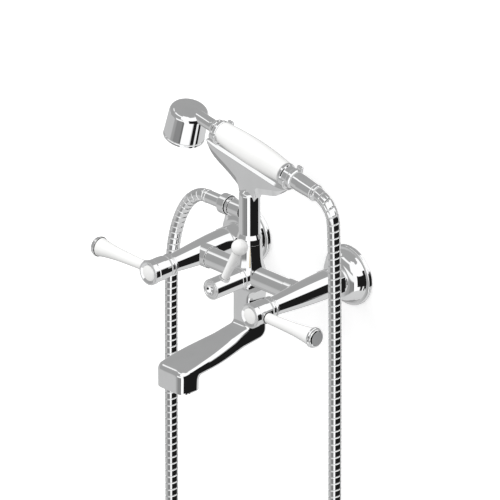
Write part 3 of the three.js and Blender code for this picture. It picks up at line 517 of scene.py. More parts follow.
FINISHES = {
    Slot.CHROME: Finish("polished_chrome", (0.90, 0.905, 0.91), (0.94, 0.945, 0.95), 1, 0.02, 0.045,
                        relief=0.0015, grain=60),
    Slot.HOSE: Finish("spiral_hose_chrome", (0.86, 0.865, 0.87), (0.93, 0.935, 0.94), 1, 0.05, 0.09,
                      relief=0.002),
    Slot.PORCELAIN: Finish("white_glaze", (0.90, 0.90, 0.89), (0.94, 0.94, 0.935), 0, 0.04, 0.08, drift=25,
                           relief=0.006, grain=70, index=1.52, coat=0.3),
    Slot.BRASS: Finish("machined_brass", (0.66, 0.50, 0.24), (0.78, 0.62, 0.34), 1, 0.22, 0.34, relief=0.01,
                       grain=300, stretch=(1, 8, 1)),
    Slot.STEEL: Finish("turned_steel", (0.55, 0.56, 0.57), (0.66, 0.67, 0.68), 1, 0.2, 0.32, relief=0.008,
                       grain=300),
    Slot.RUBBER: Finish("black_rubber", (0.012, 0.012, 0.012), (0.03, 0.03, 0.03), 0, 0.6, 0.8, relief=0.03,
                        grain=900),
    Slot.PLASTIC: Finish("aerator_plastic", (0.42, 0.43, 0.44), (0.52, 0.53, 0.54), 0, 0.4, 0.55, relief=0.01,
                         grain=500),
}
SATIN = Finish("satin_chrome", (0.50, 0.505, 0.51), (0.56, 0.565, 0.57), 0.35, 0.5, 0.6, relief=0.003,
               grain=400)


# ------------------------------------------------------------------ assemblies


@dataclass
class Assembly:
    """Pieces that ride on one body of the frame.

    Attributes:
        body: the body's name.
    """

    body: str

    def add(self, node: str, surface: Surface, slot: Slot = Slot.CHROME) -> bpy.types.Object:
        """Makes the fine piece that stands for a CAD node.

        Args:
            node: the CAD node's name.
            surface: the piece's skin.
            slot: its finish.

        Returns:
            The piece.
        """
        name = f"{node}_fine"
        made = bpy.data.objects.new(name, surface.mesh(name))
        made.data.materials.append(FINISHES[slot].material())
        bpy.context.scene.collection.objects.link(made)
        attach(made, self.body)
        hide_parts(node)
        made.visible_glossy = False
        log.info("%s: %d vertices", name, len(surface.vertices))
        return made


def spline(knots: np.ndarray, values: np.ndarray, at: np.ndarray) -> np.ndarray:
    """A natural cubic through the knots: its second derivative is continuous and 0 at both ends.

    Args:
        knots: (n,) rising places.
        values: (n,) values there.
        at: where it is wanted, held between the first and the last knot.

    Returns:
        The values at those places.
    """
    knots, values = np.asarray(knots, float), np.asarray(values, float)
    at = np.clip(at, knots[0], knots[-1])
    step, rise = np.diff(knots), np.diff(values)
    system = np.diag(np.r_[1, 2 * (step[:-1] + step[1:]), 1])
    system += np.diag(np.r_[0, step[1:]], 1) + np.diag(np.r_[step[:-1], 0], -1)
    bend = np.linalg.solve(system, np.r_[0, 6 * np.diff(rise / step), 0])
    i = np.clip(np.searchsorted(knots, at, side="right") - 1, 0, len(step) - 1)
    h, left, right = step[i], at - knots[i], knots[i + 1] - at
    return ((bend[i] * right**3 + bend[i + 1] * left**3) / (6 * h)
            + (values[i] / h - bend[i] * h / 6) * right + (values[i + 1] / h - bend[i + 1] * h / 6) * left)


def round_oblong(half_a: np.ndarray, half_b: np.ndarray, corner: np.ndarray, arc: int = 8,
                 flat: int = 5) -> np.ndarray:
    """Rectangles with round corners, each quarter a circle's arc followed by a straight side.

    Args:
        half_a, half_b: (n,) half sizes along the two ways.
        corner: (n,) corner radii.
        arc: points on each corner.
        flat: points inside each side.

    Returns:
        (n, 4 * (arc + flat), 2) points, counter-clockwise.
    """
    half_a, half_b, corner = (np.atleast_1d(v).astype(float) for v in (half_a, half_b, corner))
    corner = np.minimum(corner, 0.98 * np.minimum(half_a, half_b))
    quarter = np.linspace(0, np.pi / 2, arc)
    share = (np.arange(1, flat + 1) / (flat + 1))[None, :, None]
    parts = []
    for turn, (a, b) in enumerate(((1, 1), (-1, 1), (-1, -1), (1, -1))):
        angle = quarter + turn * np.pi / 2
        middle = np.stack([a * (half_a - corner), b * (half_b - corner)], -1)[:, None]
        parts.append(middle + corner[:, None, None] * np.stack([np.cos(angle), np.sin(angle)], -1))
    sides = [parts[i][:, -1:] + share * (parts[(i + 1) % 4][:, :1] - parts[i][:, -1:]) for i in range(4)]
    return np.concatenate([piece for pair in zip(parts, sides) for piece in pair], 1)


OUTWARD = Line(np.zeros(3), -Y_AXIS, Z_AXIS)
BODY_DEPTH = -middle_of("body_hose_nut")[1]
HEART = np.array([0.0, -BODY_DEPTH, 0.0])
GRIP_MIDDLE = 5.65  # from the hand shower's own origin, over the post, to the middle of its grip


@dataclass
class Inlet(Assembly):
    """One inlet: its wall union, flange, union nut, trumpet shaped valve body and bonnet.

    Attributes:
        side: -1 for the left one, 1 for the right one.
        thread_pitch, thread_depth: of the pipe thread that goes into the wall.
        nut_flats: across the flats of the union nut.
        flange_radius, dome_radius: of the flange's rim and of the foot of its dome.
        back_radius, front_radius: of the trumpet's two ends.
    """

    side: int = 1
    thread_pitch: float = 1.814
    thread_depth: float = 1.1
    nut_flats: float = 30.0
    flange_radius: float = 33.25
    dome_radius: float = 28.6
    back_radius: float = 14.8
    front_radius: float = 9.6

    @property
    def tag(self) -> str:
        """The end of this side's node names."""
        return "left" if self.side < 0 else "right"

    @property
    def line(self) -> Line:
        """The inlet's own axis, out from the wall."""
        return OUTWARD.from_here(np.array([middle_of(f"valve_body_{self.tag}")[0], 0.0, 0.0]))

    def trumpet_radius(self, depth: np.ndarray) -> np.ndarray:
        """The trumpet's radius at a depth: its back radius less its fall times t squared (1.7 - 0.7 t)."""
        t = np.clip((depth - 35.3) / 79.7, 0, 1)
        return self.back_radius - (self.back_radius - self.front_radius) * t * t * (1.7 - 0.7 * t)

    def union(self) -> Surface:
        """The union, whose thread's radius falls by half its depth times one less the cosine of its turn.

        The turn at a height h and an angle a is 2 pi h / pitch less a, and the thread fades at its
        start and its end.

        Returns:
            Its skin.
        """
        long = np.arange(-17.4, -0.6, 0.2)
        outline = Outline.through(
            (7.5, -18), (10.3, -18), np.stack([np.full(len(long), 10.3), long], 1), (10.3, 0), (11.5, 0),
            (11.5, 12), (13, 13), (13, 27.2), (7.5, 27.2), closed=True, soft=0.2)
        angle, spoke = turns(FINE), self.line.spokes(FINE)
        radius, height = outline.points[:, :1], outline.points[:, 1:]
        fade = smooth_step((height + 17.8) / 3) * smooth_step(-height / 2) * (radius > 9)
        turn = 2 * np.pi * height / self.thread_pitch - angle
        drop = self.thread_depth * fade * 0.5 * (1 - np.cos(turn))
        slope = -self.thread_depth * fade * np.pi / self.thread_pitch * np.sin(turn)
        points = self.line.origin + height[..., None] * self.line.along + (radius - drop)[..., None] * spoke
        normals = (outline.tangents[:, 1:, None] * spoke - (outline.tangents[:, :1, None]
                   + slope[..., None] * outline.tangents[:, 1:, None]) * self.line.along)
        return Surface.grid(points, normals, loop=True)

    def flange(self) -> Surface:
        """A flange with a rounded rim, a fine groove, a quarter ellipse dome and a short neck.

        Returns:
            Its skin.
        """
        turn = np.linspace(0, np.pi / 2, 22)
        dome = np.stack([15.5 + (self.dome_radius - 15.5) * np.cos(turn), 4.6 + 13.2 * np.sin(turn)], 1)
        hollow = np.stack([13.9 + 13.1 * np.cos(turn), 2.8 + 13.4 * np.sin(turn)], 1)[::-1]
        rim = self.flange_radius
        outline = Outline.through(
            (rim - 2.4, 0), (rim, 0, 0.3), (rim, 4.3, 3.0), (29.7, 4.5, 0.3), (29.45, 3.7, 0.2),
            (28.75, 3.7, 0.2), dome, (15.5, 20, 0.4), (13.9, 20, 0.3), hollow, (27, 1.4, 0.4),
            (rim - 2.4, 1.4, 0.4), closed=True)
        return self.line.turned(outline, 2 * FINE, closed=True)

    def nut(self) -> Surface:
        """A hexagon whose radius at each angle is the lesser of the hexagon's and the chamfer cone's.

        Returns:
            Its skin.
        """
        corner = self.nut_flats / 2 / math.cos(math.pi / 6)
        turn = np.arange(6) * np.pi / 3
        shape = Outline.through(*[(corner * math.cos(a), corner * math.sin(a), 0.9) for a in turn], closed=True)
        flats = [shape.points + f * (np.roll(shape.points, -1, 0) - shape.points) for f in (0, 0.25, 0.5, 0.75)]
        outer = np.stack(flats, 1).reshape(-1, 2)
        facing = np.stack([shape.tangents[:, 1], -shape.tangents[:, 0]], 1)
        facing = np.stack([facing + f * (np.roll(facing, -1, 0) - facing) for f in (0, 0.25, 0.5, 0.75)], 1)
        facing = unit(facing.reshape(-1, 2))
        reach = np.linalg.norm(outer, axis=1)
        ray = outer / reach[:, None]
        low, high = 20.3, 35.0
        steps = (0.25, 0.5, 0.75, 1.0, 1.3, 1.7, 2.4)
        points, normals = [], []
        for height in [low + h for h in steps] + [high - h for h in steps[::-1]]:
            gap = min(height - low, high - height)
            cone = corner - 1.9 + 1.3 * gap
            held = np.minimum(reach, cone)
            cut = (cone < reach)[:, None]
            sign = 1.0 if height < (low + high) / 2 else -1.0
            points.append(np.column_stack([ray * held[:, None], np.full(len(ray), height)]))
            flat = np.column_stack([facing, np.zeros(len(ray))])
            slant = np.column_stack([ray, np.full(len(ray), -sign * 1.3)])
            normals.append(unit(np.where(cut, unit(slant), flat)))

        def disc(radius: float, height: float, normal: tuple[float, float]) -> None:
            """Adds a round row with a normal of (out, along)."""
            edge = ray * np.minimum(radius, reach)[:, None]
            points.append(np.column_stack([edge, np.full(len(ray), height)]))
            normals.append(np.column_stack([ray * normal[0], np.full(len(ray), normal[1])]))

        disc(corner - 2.2, high, (0, 1))
        disc(11.6, high, (0, 1))
        disc(11.3, high - 0.3, (-1, 0))
        disc(11.3, high - 3.1, (-1, 0))
        disc(13.3, high - 3.1, (0, -1))
        disc(13.3, high - 3.4, (-1, 0))
        disc(13.3, low + 0.3, (-1, 0))
        disc(13.6, low, (0, -1))
        disc(corner - 2.2, low, (0, -1))
        local, facing_all = np.array(points), np.array(normals)
        line = self.line
        basis = np.stack([line.side, line.third, line.along])
        return Surface.grid(line.origin + local @ basis, facing_all @ basis, loop=True)

    def body_shell(self) -> Surface:
        """The valve body: the collar behind the nut, then the trumpet, bored through.

        Returns:
            Its skin.
        """
        depth = np.linspace(36.0, 114.2, 48)
        trumpet = np.stack([self.trumpet_radius(depth), depth], 1)
        outline = Outline.through(
            (7.5, 28.8), (12.9, 28.8), (12.9, 31.6), (11, 31.6), (11, 35.3), (14.8, 35.3, 0.5), trumpet,
            (9.6, 115, 0.4), (8, 115), (8, 59), (7.5, 58), closed=True)
        return self.line.turned(outline, closed=True)

    def bonnet(self) -> Surface:
        """The stepped ring between the valve body and the handle."""
        return self.line.turned(Outline.through(
            (5.3, 115.3), (12, 115.3, 0.4), (12, 117.3, 0.6), (10.5, 117.8, 0.5), (10.4, 119, 0.5),
            (11.4, 119.6, 0.5), (11.4, 122, 0.4), (5.3, 122), closed=True), closed=True)

    def build(self) -> None:
        """Makes the inlet's pieces."""
        self.add(f"wall_union_{self.tag}", self.union(), Slot.BRASS)
        self.add(f"wall_flange_{self.tag}", self.flange())
        self.add(f"union_nut_{self.tag}", self.nut())
        self.add(f"valve_body_{self.tag}", self.body_shell())
        self.add(f"valve_collar_{self.tag}", self.bonnet())


@dataclass
class Handle(Assembly):
    """One handle: a drum hub with a porcelain disc, and a porcelain lever with a chrome cap.

    Attributes:
        side: -1 for the left one, 1 for the right one.
        hub_radius, ring_radius: of the drum and of the ring round its disc.
        root_radius, tip_radius: of the porcelain's two ends.
        cap_radius, cap_at: of the lever's end cap, and where it starts along the lever.
    """

    side: int = 1
    hub_radius: float = 12.6
    ring_radius: float = 13.25
    root_radius: float = 5.6
    tip_radius: float = 10.2
    cap_radius: float = 11.0
    cap_at: float = 82.6

    @property
    def tag(self) -> str:
        """The end of this side's node names."""
        return "left" if self.side < 0 else "right"

    @property
    def hub_line(self) -> Line:
        """The axis that the handle turns on."""
        return OUTWARD.from_here(np.array([middle_of(f"index_disc_{self.tag}")[0], 0.0, 0.0]))

    @property
    def lever_line(self) -> Line:
        """The lever's axis, away from the middle of the mixer."""
        depth = middle_of(f"lever_grip_{self.tag}")[1]
        return Line(np.array([self.hub_line.origin[0], depth, 0.0]), self.side * X_AXIS, Z_AXIS)

    def hub(self) -> Surface:
        """The drum, and the short boss that the lever grows from.

        Returns:
            Its skin.
        """
        back = -box_of(f"handle_hub_{self.tag}")[1][1]
        front = back + 26.2
        ring, drum = self.ring_radius, self.hub_radius
        body = Outline.through(
            (3.4, back), (drum - 1.9, back, 0.6), (drum - 0.3, back + 2.2, 1.5), (drum, back + 8),
            (drum, front - 7.7, 0.3), (drum - 0.9, front - 7.0, 0.3), (drum - 0.9, front - 6.5, 0.2),
            (ring, front - 6, 0.4), (ring, front, 0.9), (11.3, front, 0.4), (9.2, front - 1.7, 0.2),
            (9.2, front - 2.2), (4.9, front - 2.2), (4.9, front - 6.2), (1.9, front - 6.2),
            (1.9, front - 8.9), (3.4, front - 8.9), closed=True)
        boss = Outline.through(
            (2.3, 9.5), (5.5, 9.5), (5.5, 13.7, 0.5), (6.75, 14.2, 0.4), (6.75, 15.9, 0.5),
            (2.3, 16.2), closed=True)
        return self.hub_line.turned(body, closed=True) + self.lever_line.turned(boss, MEDIUM, closed=True)

    def disc(self) -> Surface:
        """A porcelain disc, crowned like a watch glass: its height falls with the radius squared.

        Returns:
            Its skin.
        """
        seat = -box_of(f"index_disc_{self.tag}")[1][1]
        radius = np.linspace(7.6, 0, 14)
        crown = np.stack([radius, seat + 1.9 - 0.016 * radius**2], 1)
        outline = Outline.through((0, seat), (8.6, seat, 0.2), (8.6, seat + 0.5, 0.4), crown)
        return self.hub_line.turned(outline, MEDIUM)

    def grip(self) -> Surface:
        """The porcelain: its radius grows by 0.35 t + 0.65 t to the fourth from root to tip.

        Returns:
            Its skin.
        """
        low, high = box_of(f"lever_grip_{self.tag}")
        long = high[0] - low[0]
        t = np.linspace(0.012, 0.985, 60)
        radius = self.root_radius + (self.tip_radius - self.root_radius) * (0.35 * t + 0.65 * t**4)
        swell = np.stack([radius, 16.5 + long * t], 1)
        outline = Outline.through((2.3, 16.5), (self.root_radius, 16.5, 0.5), swell,
                                  (self.tip_radius, 16.5 + long, 0.7), (2.3, 16.5 + long), closed=True)
        return self.lever_line.turned(outline, closed=True)

    def cap(self) -> Surface:
        """The end cap: a raised ring, a step in, and a rounded shoulder round a flat face.

        Returns:
            Its skin.
        """
        back, r = self.cap_at, self.cap_radius
        return self.lever_line.turned(Outline.through(
            (0, back + 3), (2.3, back + 3), (2.3, back), (r, back, 0.5), (r, back + 2.2, 0.7),
            (r - 0.9, back + 2.9, 0.3), (r - 1.0, back + 5.1, 1.6), (r - 3.2, back + 5.9, 0.8),
            (r - 3.9, back + 5.7, 0.3), (0, back + 5.8)))

    def build(self) -> None:
        """Makes the handle's pieces."""
        self.add(f"handle_hub_{self.tag}", self.hub())
        self.add(f"index_disc_{self.tag}", self.disc(), Slot.PORCELAIN)
        self.add(f"lever_grip_{self.tag}", self.grip(), Slot.PORCELAIN)
        cap = self.add(f"lever_cap_{self.tag}", self.cap())
        self.dress_end(cap)

    def dress_end(self, cap: bpy.types.Object) -> None:
        """Gives the cap's flat face a satin finish, inside its polished ring.

        Args:
            cap: the finished end cap.
        """
        cap.data.materials.append(SATIN.material())
        count = len(cap.data.polygons)
        centres, facing = np.empty(3 * count), np.empty(3 * count)
        cap.data.polygons.foreach_get("center", centres)
        cap.data.polygons.foreach_get("normal", facing)
        offset = centres.reshape(-1, 3) / MM - self.lever_line.origin
        along = offset @ self.lever_line.along
        out = np.linalg.norm(offset - along[:, None] * self.lever_line.along, axis=1)
        outward = facing.reshape(-1, 3) @ self.lever_line.along > 0.5
        flat = (along > self.cap_at + 4.9) & (out < self.cap_radius - 3.6) & outward
        cap.data.polygons.foreach_set("material_index", flat.astype(np.int32))


@dataclass
class CentreBody(Assembly):
    """The cross tube between the valve bodies, with its collars, diverter boss and spout pad.

    Attributes:
        tube_radius, collar_radius, boss_radius, bore_radius: radii of its parts.
        gap: clearance to the valve bodies.
    """

    tube_radius: float = 11.0
    collar_radius: float = 12.3
    boss_radius: float = 12.0
    bore_radius: float = 7.0
    gap: float = 0.3

    def tube(self, inlet: Inlet) -> Surface:
        """The tube, whose ends are cut to lie round the trumpets.

        At a radius r and an angle a the end is at the trumpet axis less the square root of
        the trumpet's radius squared less (r sin a) squared.

        Args:
            inlet: the right inlet, whose trumpet the tube meets.

        Returns:
            The tube, bored through.
        """
        axis = inlet.line.origin[0]
        bore, tube, collar = self.bore_radius, self.tube_radius, self.collar_radius
        half = Outline.through((tube, 0.0), (tube, 56.3, 0.5), (collar, 56.3, 0.6), (collar, 59.0))
        angle = turns(FINE)
        spoke = -np.cos(angle)[:, None] * Y_AXIS + np.sin(angle)[:, None] * Z_AXIS

        def end(radius: float) -> np.ndarray:
            """Where a tube of a radius meets the trumpet, at each angle."""
            wall = inlet.trumpet_radius(BODY_DEPTH + radius * np.cos(angle)) + self.gap
            return axis - np.sqrt(np.maximum(wall**2 - (radius * np.sin(angle)) ** 2, 1.0))

        right = [(np.full(FINE, r), np.full(FINE, x), t) for (r, x), t in zip(half.points, half.tangents)]
        right += [(np.full(FINE, r), end(r) - back, np.array(t)) for r, back, t in (
            (collar, 0.4, (0, 1)), (collar - 0.12, 0.1, (-0.7, 0.7)), (collar - 0.4, 0.0, (-1, 0)),
            (bore, 0.0, (-1, 0)), (bore, 0.1, (0, -1)))]
        left = [(r, -x, np.array([-t[0], t[1]])) for r, x, t in right[::-1]]
        ring = left[:-1] + right
        reach = np.array([r for r, _, _ in ring])
        where = np.array([x for _, x, _ in ring])
        way = np.array([t for _, _, t in ring])
        points = HEART + where[..., None] * X_AXIS + reach[..., None] * spoke
        normals = way[:, 1][:, None, None] * spoke - way[:, 0][:, None, None] * X_AXIS
        return Surface.grid(points, normals, loop=True)

    def boss(self) -> Surface:
        """The boss that the diverter turns in.

        Returns:
            Its skin.
        """
        line = OUTWARD.from_here(np.zeros(3))
        front = BODY_DEPTH + 15
        return line.turned(Outline.through(
            (8, BODY_DEPTH + 5), (self.boss_radius, BODY_DEPTH + 5), (self.boss_radius, front, 0.7),
            (8, front), closed=True), closed=True)

    def pad(self) -> Surface:
        """The block under the tube that the spout is screwed to.

        Returns:
            Its skin.
        """
        height = np.array([-4.0, -11.6, -12.0, -12.0, -12.0])
        inset = np.array([0, 0, 0.4, 5.4, 10.9])
        outline = round_oblong(11 - inset, 13 - np.minimum(inset, 12.9), np.maximum(3.2 - inset, 0.05))
        up = np.broadcast_to(height[:, None], outline.shape[:2])
        points = HEART + np.dstack([outline, up])
        points = np.concatenate([np.broadcast_to(HEART + Z_AXIS * height[0], points[:1].shape), points])
        return Surface.grid(points, slopes(points))

    def build(self, inlet: Inlet) -> None:
        """Makes the body, to fit an inlet."""
        self.add("centre_body", self.tube(inlet) + self.boss() + self.pad())


@dataclass
class Diverter(Assembly):
    """The knob on the centre body and its upright lever with a porcelain ball.

    Attributes:
        knob_radius, knob_length: of the knob.
        stem_radius, ball_radius, ball_at: of the lever, and the ball's distance from the knob's axis.
        tilt: degrees of the lever from upright, towards +X.
    """

    knob_radius: float = 11.25
    knob_length: float = 42.3
    stem_radius: float = 4.4
    ball_radius: float = 8.8
    ball_at: float = 59.5
    tilt: float = 27.5

    @property
    def back(self) -> float:
        """The depth at which the knob starts."""
        return -box_of("diverter_knob")[1][1]

    @property
    def lever_line(self) -> Line:
        """The lever's axis, from the knob's."""
        turn = math.radians(self.tilt)
        depth = self.back + self.knob_length - 15.6
        return Line(-Y_AXIS * depth, math.sin(turn) * X_AXIS + math.cos(turn) * Z_AXIS, Y_AXIS)

    def knob(self) -> Surface:
        """A plain barrel with a fine joint line near its back and a rounded front edge.

        Returns:
            Its skin.
        """
        b, f, r = self.back, self.back + self.knob_length, self.knob_radius
        return OUTWARD.turned(Outline.through(
            (3.4, b), (r, b, 0.5), (r, b + 4.2, 0.2), (r - 0.5, b + 4.6, 0.15), (r - 0.5, b + 5.0, 0.15),
            (r, b + 5.4, 0.2), (r, f, 1.9), (9.1, f, 0.3), (9.1, f - 6.5), (0, f - 6.5), (0, b + 20.3),
            (3.4, b + 20.3), closed=True), closed=True)

    def cap(self) -> Surface:
        """The knob's end cap: a narrow rim round a bowl, which is part of a sphere of 6.4 mm.

        Returns:
            Its skin.
        """
        f = self.back + self.knob_length
        turn = np.linspace(math.radians(62), math.radians(12), 20)
        bowl = np.stack([6.4 * np.sin(turn), f + 1.9 - 6.4 * np.cos(turn)], 1)
        return OUTWARD.turned(Outline.through(
            (0, f - 6.2), (8.8, f - 6.2), (8.8, f - 0.1, 0.6), (5.9, f - 0.1, 0.3), bowl,
            (0, f - 4.4)), MEDIUM)

    def ring(self) -> Surface:
        """The ring at the lever's foot, whose lower edge lies on the knob.

        At a radius r and an angle a that edge is at the square root of the knob's radius squared
        less (r sin a) squared.

        Returns:
            Its skin.
        """
        line, inner, outer = self.lever_line, 3.3, 5.8
        angle, spoke = turns(MEDIUM), line.spokes(MEDIUM)
        lap = self.knob_radius + 0.15
        rows = []
        for r in (inner, outer):
            way = (-1.0, 0.0) if r == inner else (0.0, 1.0)
            rows.append((r, np.sqrt(lap**2 - (r * np.sin(angle)) ** 2), way))
        top = Outline.through((outer, 11.6), (outer, 13.1, 0.6), (inner, 13.1))
        rows += [(p[0], np.full(MEDIUM, p[1]), tuple(t)) for p, t in zip(top.points, top.tangents)]
        reach = np.array([r for r, _, _ in rows])[:, None]
        height = np.array([h for _, h, _ in rows])
        way = np.array([t for _, _, t in rows])
        points = line.origin + height[..., None] * line.along + reach[..., None] * spoke
        normals = way[:, 1][:, None, None] * spoke - way[:, 0][:, None, None] * line.along
        return Surface.grid(points, normals, loop=True)

    def lever(self) -> Surface:
        """A stem that widens a little, a hollow curve into the ball, and the ball's arc.

        Returns:
            Its skin.
        """
        r, centre = self.ball_radius, self.ball_at
        turn = np.linspace(math.radians(47), np.pi, 40)
        ball = np.stack([r * np.sin(turn), centre - r * np.cos(turn)], 1)
        t = np.linspace(0.02, 1, 24)
        stem = np.stack([self.stem_radius + 1.0 * t**1.6, 13.4 + 37.5 * t], 1)
        ball[-1, 0] = 0
        outline = Outline.through((0, 7.25), (3, 7.25), (3, 13.4), (self.stem_radius, 13.4, 0.3), stem,
                                  (5.6, centre - 6.6, 1.2), ball)
        return self.lever_line.turned(outline, MEDIUM)

    def build(self) -> None:
        """Makes the diverter's pieces."""
        self.add("diverter_knob", self.knob())
        self.add("diverter_cap", self.cap())
        self.add("diverter_lever_ring", self.ring())
        self.add("diverter_lever", self.lever(), Slot.PORCELAIN)


@dataclass
class Spout(Assembly):
    """The square fixed spout and its aerator.

    Attributes:
        stem_width, stem_depth: of the upright stem.
        end_width, end_depth: of the outlet block.
        reach: from the cross tube's axis to the outlet's.
        top, bottom: heights of the two ends.
        sides: points on each straight side and each arc of the two tracks in turn.
        drop, slope: where the arm's top would meet the stem's front, and its fall.
        heel, throat: heights of the underside's two corners, at the stem's back and the block's.
        outlet_radius: of the bore that takes the aerator.
        flare: how far the stem's top spreads under the cross tube.
    """

    stem_width: float = 25.0
    stem_depth: float = 27.0
    end_width: float = 43.0
    end_depth: float = 29.0
    reach: float = 105.0
    top: float = -12.3
    bottom: float = -96.0
    sides: tuple[int, ...] = (16, 12, 16, 14, 8)
    drop: float = 54.0
    slope: float = 0.155
    heel: float = -72.3
    throat: float = -81.9
    outlet_radius: float = 12.0
    flare: float = 6.5

    def track(self, corners: list[tuple[float, float, float]]) -> np.ndarray:
        """Points along straight sides and the arcs between them, a set number on each.

        Args:
            corners: (forward, up, radius) of each.

        Returns:
            (n, 2) points.
        """
        parts, start = [], np.array(corners[0][:2])
        places = np.array(corners)[:, :2]
        for i, (_, _, radius) in enumerate(corners[1:-1], 1):
            before, here, after = places[i - 1 : i + 2]
            into, out = unit(here - before), unit(after - here)
            turn = math.acos(float(into @ out))
            across = (out - math.cos(turn) * into) / math.sin(turn)
            first = here - into * radius * math.tan(turn / 2)
            side = np.linspace(0, 1, self.sides[2 * i - 2], endpoint=False)[:, None]
            angle = np.linspace(0, turn, self.sides[2 * i - 1], endpoint=False)[:, None]
            parts.append(start + side * (first - start))
            parts.append(first + radius * (np.sin(angle) * into + (1 - np.cos(angle)) * across))
            start = here + out * radius * math.tan(turn / 2)
        side = np.linspace(0, 1, self.sides[-1])[:, None]
        parts.append(start + side * (np.array(corners[-1][:2]) - start))
        return np.concatenate(parts)

    def shell(self) -> Surface:
        """Rounded oblongs carried between the line of the top and front and the line under them.

        Each section stands on the straight line between the two tracks' points of the same
        number, and widens smoothly from the stem's width to the outlet block's. The stem's top
        14 mm also widen, by the flare times the height's share to the power 2.2.

        Returns:
            Its skin.
        """
        half = self.stem_depth / 2
        front, back = self.reach + self.end_depth / 2, self.reach - self.end_depth / 2
        brow = -self.drop - self.slope * (front - half)
        upper = self.track([(half, self.top, 0), (half, -self.drop, 5.0), (front, brow, 7.0),
                            (front, self.bottom, 0)])
        lower = self.track([(-half, self.top, 0), (-half, self.heel, 10.0), (back, self.throat, 5.5),
                            (back, self.bottom, 0)])
        middle, reach = (upper + lower) / 2, upper - lower
        forward = np.minimum(middle[:, 0], upper[:, 0] - 7)
        wide = self.stem_width / 2 + (self.end_width - self.stem_width) / 2 * smooth_step(
            (forward + 14) / (back + 8)) ** 1.15
        wide += self.flare * np.clip((middle[:, 1] - self.top) / 14 + 1, 0, 1) ** 2.2
        corner = np.interp(middle[:, 0], [0, 16, 30, 84, 98], [4.5, 6.5, 9.2, 9.2, 10.0])
        tall = np.linalg.norm(reach, axis=1)
        section = round_oblong(tall / 2, wide, corner)
        away = unit(reach)
        plane = middle[:, None] + section[..., :1] * away[:, None]
        points = self.place(plane[..., 0], section[..., 1], plane[..., 1])
        first, last = points[0], points[-1]
        inlet = HEART + Z_AXIS * self.top
        outlet = HEART - Y_AXIS * self.reach + Z_AXIS * self.bottom
        bore = self.outlet_radius
        start = [self.disc(first, inlet, radius, rise) for radius, rise in ((0, -6), (5, -6), (5, 0))]
        end = [self.disc(last, outlet, radius, rise) for radius, rise in (
            (bore + 0.5, 0), (bore, 0.5), (bore, 16), (8.5, 16), (8.5, 21), (0, 21))]
        points = np.stack([
            *start, self.shrunk(first, inlet, 0.5), self.nearly(points, 0, 0.45), *points[1:-1],
            self.nearly(points, -1, 0.45), self.shrunk(last, outlet, 0.5), *end])
        return Surface.grid(points, slopes(points))

    @staticmethod
    def place(forward: np.ndarray, across: np.ndarray, up: np.ndarray) -> np.ndarray:
        """Points forward of the cross tube's axis, across it and above it."""
        return HEART + forward[..., None] * -Y_AXIS + across[..., None] * X_AXIS + up[..., None] * Z_AXIS

    @staticmethod
    def disc(row: np.ndarray, centre: np.ndarray, radius: float, rise: float) -> np.ndarray:
        """A row's points moved to a circle round a centre, each along its own ray, and raised."""
        ray = row - centre
        ray[:, 2] = 0
        return centre + unit(ray) * radius + Z_AXIS * rise

    @staticmethod
    def shrunk(row: np.ndarray, centre: np.ndarray, inset: float) -> np.ndarray:
        """A row's points moved towards a centre by an inset."""
        return row - unit(row - centre) * inset

    @staticmethod
    def nearly(points: np.ndarray, row: int, back: float) -> np.ndarray:
        """A row at one end of the skin moved towards the row next to it."""
        other = 1 if row == 0 else -2
        return points[row] + unit(points[other] - points[row]) * back

    def aerator(self) -> Surface:
        """The aerator's ring, with a rounded lip and a groove."""
        line = Line(HEART - Y_AXIS * self.reach + Z_AXIS * self.bottom, Z_AXIS, X_AXIS)
        return line.turned(Outline.through(
            (9.7, 0), (11.7, 0, 0.6), (11.7, 1.6, 0.2), (11.4, 1.9, 0.15), (11.4, 2.4, 0.15),
            (11.7, 2.7, 0.2), (11.7, 14), (8.5, 14), (8.5, 12),
            (9.7, 12), closed=True, soft=0.4), closed=True)

    def insert(self) -> Surface:
        """The insert: three rings of slots whose depth is a product of cosines of radius and angle.

        Returns:
            Its skin.
        """
        line_origin = HEART - Y_AXIS * self.reach + Z_AXIS * (self.bottom + 1.5)
        radius = np.concatenate([np.linspace(0, 9.2, 60), [9.4, 9.4, 9.4, 0]])
        angle = turns(3 * FINE)
        ring = 0.5 - 0.5 * np.cos(2 * np.pi * radius / 2.9)
        slot = smooth_step(1.5 * (0.5 + 0.5 * np.cos(24 * angle)))
        slotted = (radius > 1.4) & (radius < 9.0)
        depth = 1.6 * smooth_step(1.6 * ring)[:, None] * slot * slotted[:, None]
        depth[-4:] = 0
        depth[-2:] = 10.2
        spoke = np.cos(angle)[:, None] * X_AXIS + np.sin(angle)[:, None] * Y_AXIS
        points = line_origin + radius[:, None, None] * spoke + depth[..., None] * Z_AXIS
        points[0] = points[0, 0]
        return Surface.grid(points, slopes(points))

    def build(self) -> None:
        """Makes the spout's pieces."""
        self.add("spout", self.shell())
        self.add("aerator_housing", self.aerator())
        self.add("aerator_insert", self.insert(), Slot.PLASTIC)


